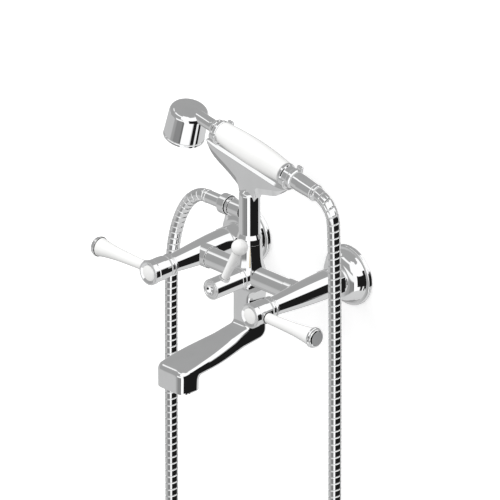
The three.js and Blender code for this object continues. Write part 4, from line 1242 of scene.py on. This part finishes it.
@dataclass
class Riser(Assembly):
    """The flared saddle on the cross tube, and the post that carries the cradle and the hose.

    Attributes:
        post_radius: of the post.
        flare: (height, radius) of the saddle, from its lowest point up.
        tube_seat, boss_seat: radii of what it lies on, the cross tube and the diverter's boss.
        foot, top: its lowest and its highest height.
        bore: its inner radius.
        nut_radius: of the hose nut.
        hose_radius: of the hose and its sleeve.
    """

    post_radius: float = 11.35
    flare: tuple[tuple[float, float], ...] = (
        (-3.5, 18.2), (0, 18.0), (6, 17.0), (12, 15.2), (18, 14.1), (26, 13.6), (37, 13.3))
    tube_seat: float = 11.3
    boss_seat: float = 12.3
    foot: float = -3.5
    top: float = 37.0
    bore: float = 7.6
    nut_radius: float = 11.0
    hose_radius: float = 7.0

    def saddle(self) -> Surface:
        """The saddle, whose lower edge lies on the cross tube and the diverter's boss.

        At an angle a the edge is the highest place where the flare's radius r is at the height of
        the tube, the square root of its radius squared less (r sin a) squared, or of the boss in
        front, the square root of its radius squared less (r cos a) squared. Where neither is under it the
        flare ends at its own foot, which is lower in front than behind. The wall's normal is the
        spoke less the radius's change with height along Z.

        Returns:
            Its skin.
        """
        height, radius = np.array(self.flare).T
        angle = turns(2 * FINE)
        scan = np.linspace(self.foot, 36, 1600)[:, None]
        reach = spline(height, radius, scan)
        across, out = reach * np.cos(angle), reach * np.sin(angle)
        tube = self.over_rod(out, self.tube_seat)
        boss = np.where(out < 0, self.over_rod(across, self.boss_seat), -99.0)
        foot = self.foot + 7.5 * smooth_step(0.5 + 2 * np.sin(angle))
        blocked = scan < np.maximum(np.maximum(tube, boss), foot)
        last = blocked.shape[0] - 1 - np.argmax(blocked[::-1], 0)
        edge = scan[last, 0]
        edge = (np.roll(edge, 1) + 2 * edge + np.roll(edge, -1)) / 4
        share = np.concatenate([[0, 0.012], np.linspace(0.04, 1, 34)])[:, None]
        up = edge + share * (self.top - 0.05 - edge)
        spoke = np.cos(angle)[:, None] * X_AXIS + np.sin(angle)[:, None] * Y_AXIS
        wall = spline(height, radius, up)
        wall[0] -= 0.35
        inner, rim = np.full_like(up[:1], self.bore), np.full_like(up[:1], self.top)
        floor = np.maximum(up[:1], 8.4)
        rows_up = np.concatenate([floor, up, rim, rim, floor])
        rows_out = np.concatenate([inner, wall, wall[-1:] - 0.05, inner, inner])
        rows_up[1] = up[0]
        points = HEART + rows_out[..., None] * spoke + rows_up[..., None] * Z_AXIS
        normals = slopes(points)
        lean = (spline(height, radius, up + 0.05) - spline(height, radius, up - 0.05)) / 0.1
        facing = unit(spoke - lean[..., None] * Z_AXIS)
        outer = slice(1, 1 + len(share))
        normals[outer] = facing * np.sign((normals[outer] * facing).sum())
        return Surface.grid(points, normals)

    @staticmethod
    def over_rod(across: np.ndarray, radius: float) -> np.ndarray:
        """The height of a lying rod's top at a distance across it, or far below where it isn't under."""
        inside = np.abs(across) < radius
        return np.sqrt(np.maximum(radius**2 - across**2, 0)) * inside - 99.0 * ~inside

    def nut_line(self) -> Line:
        """The hose outlet's axis, towards -X."""
        return Line(HEART + Z_AXIS * middle_of("hose_outlet")[2], -X_AXIS, Z_AXIS)

    def build(self) -> None:
        """Makes the saddle and the hose's fittings."""
        self.add("riser_base", self.saddle())
        line, n, h = self.nut_line(), self.nut_radius, self.hose_radius
        self.add("hose_outlet", line.turned(Outline.through(
            (4.6, 9.5), (8.75, 9.5), (8.75, 24.5, 0.3), (9.9, 25, 0.3), (9.9, 28.5, 0.4), (7.8, 29),
            (7.8, 35.3), (4.6, 35.3), closed=True), MEDIUM, closed=True))
        self.add("body_hose_nut", line.turned(Outline.through(
            (8.1, 29.3), (n, 29.3, 0.7), (n, 38.6, 1.0), (n - 0.9, 39.5, 0.5), (5.6, 39.5), (5.6, 37.1),
            (8.1, 37.1), closed=True), MEDIUM, closed=True))
        self.add("body_hose_sleeve", line.turned(Outline.through(
            (4.6, 39.8), (h + 0.5, 39.8, 0.4), (h + 0.5, 42.5, 0.3), (h, 43, 0.3), (h, 60.5, 0.3),
            (h + 0.45, 61, 0.3), (h + 0.45, 63.1, 0.4), (4.6, 63.5), closed=True), MEDIUM, closed=True))


@dataclass
class Cradle(Assembly):
    """The crescent web on the post and the two forks that hold the hand shower.

    Attributes:
        line: the hand shower's axis at rest, from its head to its tail.
        top: of the web, below that axis.
        half: half of the web's thickness.
        bevel: along its lower edges, through its thickness and up its faces.
        top_bevel: along its upper edges.
        fork_at, fork_radius: where each fork is, and the radius of its bend.
        prong_back, prong_front: how high its two prongs reach.
        under: (along, below) of the points that the web's underside passes through.
    """

    line: Line = OUTWARD
    top: float = 15.4
    half: float = 6.0
    bevel: tuple[float, float] = (3.2, 8.5)
    top_bevel: float = 3.0
    fork_at: tuple[float, float] = (-43.0, 61.0)
    fork_radius: float = 13.6
    prong_back: float = 8.0
    prong_front: float = 1.0
    under: tuple[tuple[float, float], ...] = (
        (-57, 15.5), (-54, 21.5), (-49.5, 27.5), (-42, 32.6), (-32, 36.1), (-21.6, 39.4), (-12.2, 43.1),
        (-6.6, 46), (-3.4, 50.5), (-1.5, 56), (20.5, 56), (20.6, 46.5), (22, 42.5), (26.4, 40.3),
        (35.6, 36.5), (47.2, 30.9), (54.7, 23.6), (58, 19), (60, 15.5))

    def web(self) -> Surface:
        """A bevelled oblong section spanned between the web's straight top and its curved underside.

        The underside is a cubic through its points by their distance.

        Returns:
            Its skin.
        """
        knots = np.array(self.under)
        run = np.r_[0, np.cumsum(np.linalg.norm(np.diff(knots, axis=0), axis=1))]
        at = np.linspace(0, run[-1], 170)
        s = np.interp(at, run, knots[:, 0])
        smooth_s, smooth_d = spline(run, knots[:, 0], at), spline(run, knots[:, 1], at)
        inside = (s > -2) & (s < 21)
        s = np.where(inside, s, smooth_s)
        deep = np.where(inside, np.interp(at, run, knots[:, 1]), smooth_d)
        s, deep = np.clip(s, -57, 60), np.clip(deep, self.top + 0.1, 56)
        (deep_c, tall_c), t = self.bevel, self.top_bevel
        shape = Outline.through(
            (50 - t, 0, 0.6), (-50 + t, 0, 0.6), (-50, t, 0.6), (-50, 100 - tall_c, 0.6),
            (-50 + deep_c, 100, 0.6), (50 - deep_c, 100, 0.6), (50, 100 - tall_c, 0.6),
            (50, t, 0.6), closed=True)
        y, d = shape.points.T
        low = d > 50
        shy_y, shy_d = y - 50 * np.sign(y), d - 100 * low
        held = np.minimum(1, 0.48 * (deep - self.top) / tall_c)[:, None]
        y = np.sign(y) * self.half + held * shy_y
        d = np.where(low, deep[:, None], self.top) + held * shy_d
        down = np.cross(self.line.side, self.line.along)
        middle = self.line.origin + s[:, None, None] * self.line.along
        points = middle + y[..., None] * Y_AXIS + d[..., None] * down
        points = capped(points)
        return Surface.grid(points, slopes(points))

    def post(self, riser: Riser) -> Surface:
        """The post, closed by a rounded shoulder under the web.

        Args:
            riser: the riser that it stands on.

        Returns:
            Its skin.
        """
        line = Line(HEART, Z_AXIS, X_AXIS)
        r = riser.post_radius
        return line.turned(Outline.through(
            (0, 77), (7.5, 77), (7.5, 37.1), (13.25, 37.1, 0.05), (13.2, 43.4, 0.4), (r, 48.0, 0.8),
            (r, 93.5, 4.5), (6.2, 97.5, 2.0), (5.6, 102), (0, 102)))

    def fork(self, index: int) -> Surface:
        """A U of a rounded oblong section carried round the hand shower, its two ends rounded off.

        Args:
            index: 0 for the fork nearer the head.

        Returns:
            The fork.
        """
        radius, tip_rows = self.fork_radius, 6
        cap = np.linspace(np.pi / 2, 0, tip_rows)
        turn = np.linspace(0, np.pi, 40)
        out = np.concatenate([np.full(tip_rows + 2, radius), radius * np.cos(turn), np.full(tip_rows, -radius)])
        rise = np.concatenate([
            self.prong_back - 1.5 + 1.5 * np.sin(cap), [self.prong_back * 0.5, self.prong_back * 0.2],
            -radius * np.sin(turn), self.prong_front - 0.9 + 0.9 * np.sin(cap[::-1])])
        tip = np.maximum(np.cos(cap), 0.02)
        size = np.concatenate([tip, np.ones(len(turn) + 2), tip[::-1]])
        inward = np.concatenate([np.zeros(tip_rows + 2), turn, np.full(tip_rows, np.pi)])
        section = round_oblong(1.5 * size, 4 * size, 1.2 * size, arc=6, flat=3)
        up = np.cross(self.line.along, self.line.side)
        spoke = np.cos(inward)[:, None] * Y_AXIS - np.sin(inward)[:, None] * up
        centre = (self.line.at(self.fork_at[index]) + out[:, None] * Y_AXIS + rise[:, None] * up)
        points = (centre[:, None] + section[..., :1] * spoke[:, None] + section[..., 1:] * self.line.along)
        points = capped(points)
        return Surface.grid(points, slopes(points))

    def build(self, riser: Riser) -> None:
        """Makes the cradle's pieces."""
        self.add("cradle", self.web() + self.post(riser))
        self.add("cradle_fork_front", self.fork(0))
        self.add("cradle_fork_back", self.fork(1))


@dataclass
class HandShower(Assembly):
    """The hand shower: bell shaped head, spray plate, neck, porcelain barrel and ferrule.

    Attributes:
        line: its axis, from head to tail.
        head_radius, head_top_radius, head_height, head_fillet: of the head.
        head_lean: degrees of the head's axis from square to the handle.
        head_at, head_below: its rim's centre along the axis and below it.
        nozzle_rings: (radius, count) of the spray plate's nozzles.
    """

    line: Line = OUTWARD
    head_radius: float = 22.15
    head_top_radius: float = 20.8
    head_height: float = 38.5
    head_fillet: float = 9.0
    head_lean: float = 4.0
    head_at: float = -93.2
    head_below: float = 33.5
    nozzle_rings: tuple[tuple[float, int], ...] = ((5.5, 6), (11.0, 12), (16.5, 18))

    @property
    def up(self) -> np.ndarray:
        """Square to the handle, away from the spray."""
        return np.cross(self.line.along, self.line.side)

    @property
    def head_line(self) -> Line:
        """The head's axis, from the middle of its rim."""
        lean = math.radians(self.head_lean)
        along = math.sin(lean) * self.line.along + math.cos(lean) * self.up
        return Line(self.line.at(self.head_at) - self.up * self.head_below, along, Y_AXIS)

    def head(self) -> Surface:
        """The bell: a rim ring, a wall that narrows slightly, a rounded shoulder and a low crown.

        Returns:
            Its skin.
        """
        r, top, h = self.head_radius, self.head_top_radius, self.head_height
        crown = np.linspace(8, 0, 8)
        return self.head_line.turned(Outline.through(
            (0, h - 2.6), (10, h - 2.8, 3), (17.5, 28, 2), (20.0, 2.7), (20.35, 2.7), (20.35, 0),
            (r, 0, 0.6), (r, 2.3, 0.7), (r - 0.75, 3.0, 0.3), (r - 0.75, 3.5, 0.3), (r - 0.2, 4.1, 0.5),
            (top, h - 2, self.head_fillet),
            np.stack([crown, h + 0.8 - 0.006 * crown**2], 1)), 2 * FINE)

    def plate(self) -> Surface:
        """The spray plate and its lipped nozzles, which are rubber on the real shower but share the plate's
        chrome here.

        Returns:
            Its skin.
        """
        line = self.head_line
        plate = Outline.through((0, 0.5), (19.0, 0.3, 0.5), (20.05, 0.8, 0.3), (20.05, 2.4), (0, 2.4))
        nozzle = Outline.through((0, 1.0), (0.55, 1.0, 0.1), (0.6, -0.3, 0.15), (1.1, 0.2, 0.15), (1.2, 1.2),
                                 (0, 1.2), soft=0.1)
        made = line.turned(plate)
        for radius, count in self.nozzle_rings:
            for turn in turns(count):
                place = line.origin + radius * (math.cos(turn) * line.side + math.sin(turn) * line.third)
                made += line.from_here(place).turned(nozzle, NOZZLE_FACETS)
        return made

    def neck(self) -> Surface:
        """The slim neck, which sweeps out to a stepped ring before the porcelain.

        Returns:
            Its skin.
        """
        s = np.linspace(-58, -50.2, 14)
        sweep = np.stack([spline(np.array([-58, -55, -52.5, -50.2]), np.array([6.8, 7.0, 7.9, 10.0]), s), s], 1)
        return self.line.turned(Outline.through(
            (4.6, -77), (6.8, -77, 0.1), sweep, (10.2, -49.4, 0.4), (10.2, -48.2, 0.4), (9.4, -47.6, 0.3),
            (9.4, -46.9, 0.3), (10.3, -46.2, 0.3), (11.8, -44.6, 0.6), (11.8, -42.4, 0.6),
            (11.1, -41.3, 0.3), (6.5, -41.3), (6.5, -49.3), (4.6, -49.3), closed=True), closed=True)

    def grip(self) -> Surface:
        """The barrel: its radius is 11.3 plus 3 times the sine of pi t to the power 0.75."""
        t = (1 - np.cos(np.linspace(0.16, np.pi - 0.16, 72))) / 2
        barrel = np.stack([11.3 + 3 * np.sin(np.pi * t) ** 0.75, -41 + 93.3 * t], 1)
        return self.line.turned(Outline.through(
            (6.5, -41), (11.25, -41, 0.5), barrel, (11.25, 52.3, 0.5), (6.5, 52.3), closed=True), closed=True)

    def tail(self) -> Surface:
        """The ferrule behind the porcelain, with two raised rings, and its thread."""
        return self.line.turned(Outline.through(
            (6.5, 52.6), (11.2, 52.6, 0.3), (11.8, 53.4, 0.4), (11.8, 56.1, 0.6), (10.2, 57.2, 0.6),
            (10.2, 63.4, 0.6), (11.2, 64.6, 0.5), (11.2, 68.2, 0.7), (10, 69.6, 0.4), (7, 69.6), (7, 77.6),
            (4.6, 77.6), (4.6, 59), (6.5, 59), closed=True), closed=True)

    def hose_nut(self) -> Surface:
        """The long cone nut with a bead at its end."""
        return self.line.turned(Outline.through(
            (7.3, 69.9), (9.4, 69.9, 0.6), (9.45, 78, 6), (8.6, 96.4, 0.3), (8.3, 96.8, 0.2),
            (8.3, 97.3, 0.2), (9.1, 97.8, 0.5), (9.1, 100.3, 0.6), (8.4, 100.9, 0.3), (4.6, 100.9),
            (4.6, 80.4), (7.3, 80.4), closed=True), MEDIUM, closed=True)

    def build(self) -> None:
        """Makes the hand shower's pieces."""
        self.add("shower_head", self.head())
        self.add("spray_plate", self.plate())
        self.add("handset_neck", self.neck())
        self.add("handset_grip", self.grip(), Slot.PORCELAIN)
        self.add("handset_tail", self.tail())
        self.add("handset_hose_nut", self.hose_nut())


@dataclass
class Hose:
    """The spiral wound hose from the post to the hand shower, hanging in a long loop.

    Attributes:
        radius: of its ribs.
        pitch, groove, depth: of its winding, with the groove's width and depth.
        sides: facets round it.
        route: (across, up) of the points that its middle passes through.
        blend_from, blend_to: where, across, it would stop following the mixer and start following the
        hand shower; not used.
    """

    radius: float = 7.0
    pitch: float = 7.6
    groove: float = 2.0
    depth: float = 0.65
    sides: int = 28
    blend_from: float = -60.0
    blend_to: float = 60.0
    route: tuple[tuple[float, float], ...] = (
        (-63.9, 69), (-67.5, 68.9), (-75, 66.4), (-82.2, 61.9), (-89.6, 55), (-96.6, 45.2), (-103, 32.8),
        (-108.7, 17), (-113, -2), (-115.8, -26), (-116.9, -58), (-117, -300), (-116.9, -390), (-114, -447),
        (-103, -492), (-81.4, -529), (-42, -560.6), (-15, -570.6), (-4, -572), (4.5, -572), (13, -572),
        (24, -570.6), (51, -560.6), (90.4, -529), (112, -492), (123, -447), (126.2, -390), (126.4, -300),
        (126.4, -120), (126.3, -50), (125.8, 5), (124.9, 50), (124, 80), (123.1, 98), (121.6, 105.3),
        (118.1, 112), (113, 117.6), (106.6, 121.6), (103.1, 123.15), (99.6, 123.84))

    def middle(self, count: int = 6000) -> tuple[np.ndarray, np.ndarray]:
        """The hose's middle line, a centripetal Catmull-Rom curve through its route.

        Args:
            count: points along it.

        Returns:
            (n,) lengths from its start and (n, 2) points, evenly spread.
        """
        p = np.array(self.route, float)
        p = np.vstack([2 * p[0] - p[1], p, 2 * p[-1] - p[-2]])
        gap = np.linalg.norm(np.diff(p, axis=0), axis=1)[:, None] ** 0.5
        a, b, c = gap[:-2], gap[1:-1], gap[2:]
        p0, p1, p2, p3 = p[:-3], p[1:-2], p[2:-1], p[3:]
        leave = ((p1 - p0) / a - (p2 - p0) / (a + b) + (p2 - p1) / b) * b
        reach = ((p2 - p1) / b - (p3 - p1) / (b + c) + (p3 - p2) / c) * b
        t = np.linspace(0, 1, 200, endpoint=False)[None, :, None]
        curve = ((2 * t**3 - 3 * t**2 + 1) * p1[:, None] + (t**3 - 2 * t**2 + t) * leave[:, None]
                 + (3 * t**2 - 2 * t**3) * p2[:, None] + (t**3 - t**2) * reach[:, None]).reshape(-1, 2)
        curve = np.vstack([curve, p[-2]])
        run = np.r_[0, np.cumsum(np.linalg.norm(np.diff(curve, axis=0), axis=1))]
        at = np.linspace(0, run[-1], count)
        return at, np.stack([np.interp(at, run, curve[:, 0]), np.interp(at, run, curve[:, 1])], 1)

    def skin(self) -> Surface:
        """The wound tube, on a grid whose rows climb with the winding.

        Row i, column n lies at the pitch times (the row's phase plus n over the sides), so the
        groove follows a row all the way round. The radius is the rib's, less the groove's depth
        times the squared cosine of the distance from its middle.

        Returns:
            Its skin.
        """
        at, line = self.middle()
        long = at[-1]
        band = self.groove / self.pitch / 2
        phase = np.array([0, 0.12, 0.25, 0.5 - band, 0.5 - 0.6 * band, 0.5 - 0.3 * band, 0.5, 0.5 + 0.3 * band,
                          0.5 + 0.6 * band, 0.5 + band, 0.75, 0.88])
        per_wind = len(phase)
        winds = int(math.ceil(long / self.pitch)) + 1
        climb = (np.arange(-1, winds)[:, None] + phase).ravel()
        angle = np.arange(self.sides) / self.sides
        place = climb[:, None] + angle
        s = np.clip(place * self.pitch, 0, long)
        off = np.clip(np.abs(phase - 0.5) / band, 0, 1)
        dip = self.depth * np.cos(np.pi / 2 * off) ** 2
        wall = self.depth * np.pi / 2 / band / self.pitch * np.sin(np.pi * off)
        steep = np.where(off < 1, wall * np.sign(phase - 0.5), 0)
        radius = (self.radius - 0.02 - np.tile(dip, winds + 1))[:, None]
        slope = np.tile(steep, winds + 1)[:, None, None]
        x, z = np.interp(s, at, line[:, 0]), np.interp(s, at, line[:, 1])
        way = np.gradient(line, at, axis=0)
        tx, tz = np.interp(s, at, way[:, 0]), np.interp(s, at, way[:, 1])
        tangent = unit(np.stack([tx, np.zeros_like(tx), tz], -1))
        side = np.cross(tangent, Y_AXIS)
        turn = 2 * np.pi * angle[None, :, None]
        spoke = np.cos(turn) * Y_AXIS + np.sin(turn) * side
        points = np.stack([x, np.full_like(x, HEART[1]), z], -1) + radius[..., None] * spoke
        normals = unit(spoke - slope * tangent)
        rows, columns = x.shape
        index = np.arange(rows * columns).reshape(rows, columns)
        quads = np.stack([index[:-1, :-1], index[:-1, 1:], index[1:, 1:], index[1:, :-1]], -1).reshape(-1, 4)
        seam = np.stack([index[: -per_wind - 1, -1], index[per_wind:-1, 0], index[per_wind + 1 :, 0],
                         index[1:-per_wind, -1]], -1)
        return Surface.tidy(points.reshape(-1, 3), normals.reshape(-1, 3), np.concatenate([quads, seam]))

    def build(self) -> bpy.types.Object:
        """Returns:
            The hose.
        """
        made = bpy.data.objects.new("shower_hose_fine", self.skin().mesh("shower_hose_fine"))
        made.data.materials.append(FINISHES[Slot.HOSE].material())
        bpy.context.scene.collection.objects.link(made)
        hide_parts("hose_from_body", "hose_to_handset")
        made.visible_glossy = False
        at, line = self.middle(400)
        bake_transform(made)
        log.info("shower hose: %.0f mm", at[-1])
        return made


# ------------------------------------------------------------------ the room


@dataclass(frozen=True)
class Patch:
    """A part of the room that the metal mirrors.

    Attributes:
        west, east: its bearings, in degrees from straight in front of the wall towards +X.
        low, high: its elevations in degrees.
        level: how bright it is.
        soft: degrees over which its edges fade.
    """

    west: float
    east: float
    low: float
    high: float
    level: float
    soft: float = 2.0


@dataclass(frozen=True)
class Studio:
    """Plain pale surfaces, soft light, and the grey and white screens that the metal mirrors.

    Attributes:
        base: level of what no screen covers.
        sky: (lowest elevation, highest elevation, level there, level there) of the light that falls
            on the object, even between the two.
        glow: how much the wall and the floor shine by themselves.
        half_width, depth, height, below: of the room, in metres from the mixer's origin.
        screens: in the order that they stand in front of each other, the nearest last.
    """

    base: float = 0.38
    sky: tuple[float, float, float, float] = (-50.0, 30.0, 0.25, 1.12)
    glow: float = 0.42
    half_width: float = 4.0
    depth: float = 5.0
    height: float = 3.0
    below: float = 0.62
    screens: tuple[Patch, ...] = (
        Patch(-181, 181, -91, -35, 0.66, 6), Patch(138, 300, -60, -2, 0.66, 3),
        Patch(-71, 17, -45, 35, 0.36, 3), Patch(-24, 22, -45, -18, 0.26, 5),
        Patch(10, 22, -45, -18, 0.16, 4), Patch(-135, -40, -50, -8, 0.54, 4),
        Patch(-150, -106, -75, -30, 0.32, 3), Patch(19, 74, -48, 70, 1.1, 1.5),
        Patch(-26, 40, -17, 2, 1.05, 3), Patch(8, 150, 10, 58, 1.1, 2),
        Patch(50, 130.5, -33, 9, 0.012, 1.0), Patch(112, 130.5, -36, 22, 0.012, 1.0),
        Patch(126, 153, -31, -2, 0.012, 1.0), Patch(80, 104, -50, -31, 0.012, 1.0),
        Patch(104, 119, -50, -33, 0.9, 1.0), Patch(119, 136, -48, -34, 0.012, 1.0),
        Patch(-92, -62, 41, 50, 1.0, 2), Patch(-50, 12, 41, 56, 1.05, 2),
        Patch(140, 172, 30, 62, 1.1, 2), Patch(-100, -74, -50, -32, 0.33, 2))

    @staticmethod
    def band(graph: Graph, value: bpy.types.NodeSocket, low: float, high: float,
             soft: float) -> bpy.types.NodeSocket:
        """1 between two angles and 0 outside them, with soft edges."""
        rise = graph.ramp(value, low - soft, low + soft, smooth=True)
        fall = graph.ramp(value, high - soft, high + soft, 1.0, 0.0, smooth=True)
        return graph.math("MULTIPLY", rise, fall)

    def light_world(self) -> None:
        """Builds the world: the screens for mirrored rays, and an even sky for the rest."""
        world = bpy.data.worlds.new("studio")
        bpy.context.scene.world = world
        world.use_nodes = True
        graph = Graph(world.node_tree)
        split = graph.node("ShaderNodeSeparateXYZ", {0: graph.node("ShaderNodeTexCoord").outputs["Generated"]})
        x, y, z = split.outputs
        swing = graph.math("ARCTAN2", x, graph.math("MULTIPLY", y, -1.0))
        bearing = graph.math("MULTIPLY", swing, 180 / math.pi)
        held = graph.math("MAXIMUM", graph.math("MINIMUM", z, 1.0), -1.0)
        height = graph.math("MULTIPLY", graph.math("ARCSINE", held), 180 / math.pi)
        below_zero = graph.math("LESS_THAN", bearing, 0.0)
        wrapped = graph.math("ADD", bearing, graph.math("MULTIPLY", below_zero, 360.0))
        level = self.base
        for screen in self.screens:
            value = wrapped if screen.east > 181 else bearing
            across = self.band(graph, value, screen.west, screen.east, screen.soft)
            up = self.band(graph, height, screen.low, screen.high, screen.soft)
            made = graph.node("ShaderNodeMix", {"Factor": graph.math("MULTIPLY", across, up), "A": level,
                                                "B": screen.level}, data_type="FLOAT")
            level = made.outputs["Result"]
        sky = graph.ramp(height, *self.sky)
        ray = graph.node("ShaderNodeLightPath").outputs["Is Glossy Ray"]
        chosen = graph.node("ShaderNodeMix", {"Factor": ray, "A": sky, "B": level}, data_type="FLOAT")
        back = graph.node("ShaderNodeBackground", {"Color": (1, 1, 1, 1), "Strength": chosen.outputs["Result"]})
        graph.node("ShaderNodeOutputWorld", {"Surface": back.outputs[0]})

    def surface_material(self) -> bpy.types.Material:
        """A pale matt surface that is clear from behind, so that the object shows from every side.

        Returns:
            The material.
        """
        made = bpy.data.materials.new("pale_matt")
        made.use_nodes = True
        graph = Graph(made.node_tree)
        matt = graph.node("ShaderNodeBsdfDiffuse", {"Color": (0.93, 0.93, 0.93, 1)})
        clear = graph.node("ShaderNodeBsdfTransparent")
        glow = graph.node("ShaderNodeEmission", {"Strength": self.glow})
        bright = graph.node("ShaderNodeAddShader", {0: matt.outputs[0], 1: glow.outputs[0]})
        rear = graph.node("ShaderNodeNewGeometry").outputs["Backfacing"]
        mixed = graph.node("ShaderNodeMixShader", {0: rear, 1: bright.outputs[0], 2: clear.outputs[0]})
        graph.node("ShaderNodeOutputMaterial", {"Surface": mixed.outputs[0]})
        return made

    def plane(self, name: str, corners: list[tuple[float, float, float]], material: bpy.types.Material) -> None:
        """Adds a flat part of the room, which neither is mirrored by the mixer nor lights it.

        Args:
            name: its name.
            corners: its four corners in metres.
            material: its material.
        """
        mesh = bpy.data.meshes.new(name)
        mesh.from_pydata(corners, [], [(0, 1, 2, 3)])
        mesh.materials.append(material)
        made = bpy.data.objects.new(name, mesh)
        bpy.context.scene.collection.objects.link(made)
        made.visible_glossy = made.visible_diffuse = False

    def lamp(self, name: str, place: tuple[float, float, float], size: float, power: float) -> None:
        """Adds a soft lamp that looks at the mixer and isn't mirrored by it.

        Args:
            name: its name.
            place: where it is, in metres.
            size: its diameter in metres.
            power: watts.
        """
        data = bpy.data.lights.new(name, "AREA")
        data.shape, data.size, data.energy = "DISK", size, power
        made = bpy.data.objects.new(name, data)
        made.location = place
        from_here = Vector((0.0, -0.07, 0.0)) - made.location
        made.rotation_euler = from_here.to_track_quat("-Z", "Y").to_euler()
        made.visible_glossy = False
        bpy.context.scene.collection.objects.link(made)

    def build(self) -> None:
        """Makes the room."""
        self.light_world()
        pale = self.surface_material()
        side, back, front, down, up = self.half_width, 0.0005, -self.depth, -self.below, self.height
        seam = [(side, back, down), (-side, back, down)]
        self.plane("wall", [seam[1], seam[0], (side, back, up), (-side, back, up)], pale)
        self.plane("floor", [(-side, front, down), (side, front, down), *seam], pale)
        self.lamp("key", (-1.1, -1.6, 1.3), 0.9, 14.0)


LENS, SENSOR = 1000.0, 36.0                   # millimetres
CAMERA_BEARING, CAMERA_HEIGHT = 45.1, 24.8    # degrees
CAMERA_DISTANCE = 14.53                       # metres
CAMERA_TARGET = (0.0, -0.0724, 0.0269)


def add_camera() -> bpy.types.Object:
    """The camera: a very long lens, 45 degrees to the right of the wall's normal and 25 above.

    Returns:
        The camera.
    """
    data = bpy.data.cameras.new("camera")
    data.lens, data.sensor_width, data.clip_end = LENS, SENSOR, 50.0
    made = bpy.data.objects.new("camera", data)
    bpy.context.scene.collection.objects.link(made)
    bearing, height = math.radians(CAMERA_BEARING), math.radians(CAMERA_HEIGHT)
    level = math.cos(height)
    away = Vector((math.sin(bearing) * level, -math.cos(bearing) * level, math.sin(height)))
    made.location = Vector(CAMERA_TARGET) + away * CAMERA_DISTANCE
    made.rotation_euler = (-away).to_track_quat("-Z", "Y").to_euler()
    bpy.context.scene.camera = made
    return made


def dress_inner_nodes() -> None:
    """Gives the hidden CAD nodes that stay as they are the finish of what each is made of."""
    words = {"washer": Slot.RUBBER, "screw": Slot.STEEL, "lever_rod": Slot.STEEL, "spindle": Slot.BRASS,
             "cartridge": Slot.BRASS, "nipple": Slot.BRASS, "handset_tube": Slot.BRASS}
    for name, node in frame["nodes"].items():
        found = [slot for word, slot in words.items() if word in name]
        if found and not node.hide_render:
            finish = FINISHES[found[0]].material()
            for slot in node.material_slots:
                slot.material = finish
            node.visible_glossy = False


def main() -> None:
    """Builds the scene, assembly by assembly."""
    logging.basicConfig(level=logging.INFO, format="%(message)s")
    bpy.context.scene.view_settings.view_transform = "Standard"
    add_camera()
    Hose().build()
    Studio().build()
    inlets = [Inlet("mixer", side=side) for side in (-1, 1)]
    for inlet in inlets:
        inlet.build()
    CentreBody("mixer").build(inlets[1])
    for side, body in ((-1, "left_handle"), (1, "right_handle")):
        Handle(body, side=side).build()
    Diverter("diverter").build()
    Spout("mixer").build()
    riser = Riser("mixer")
    riser.build()
    up = joint_axis("handset_lift")
    along = np.array([up[2], 0.0, -up[0]])
    axis = Line(middle_of("handset_grip") - GRIP_MIDDLE * along, along, Y_AXIS)
    Cradle("mixer", line=axis).build(riser)
    HandShower("handset", line=axis).build()
    dress_inner_nodes()


if __name__ == "__main__":
    main()
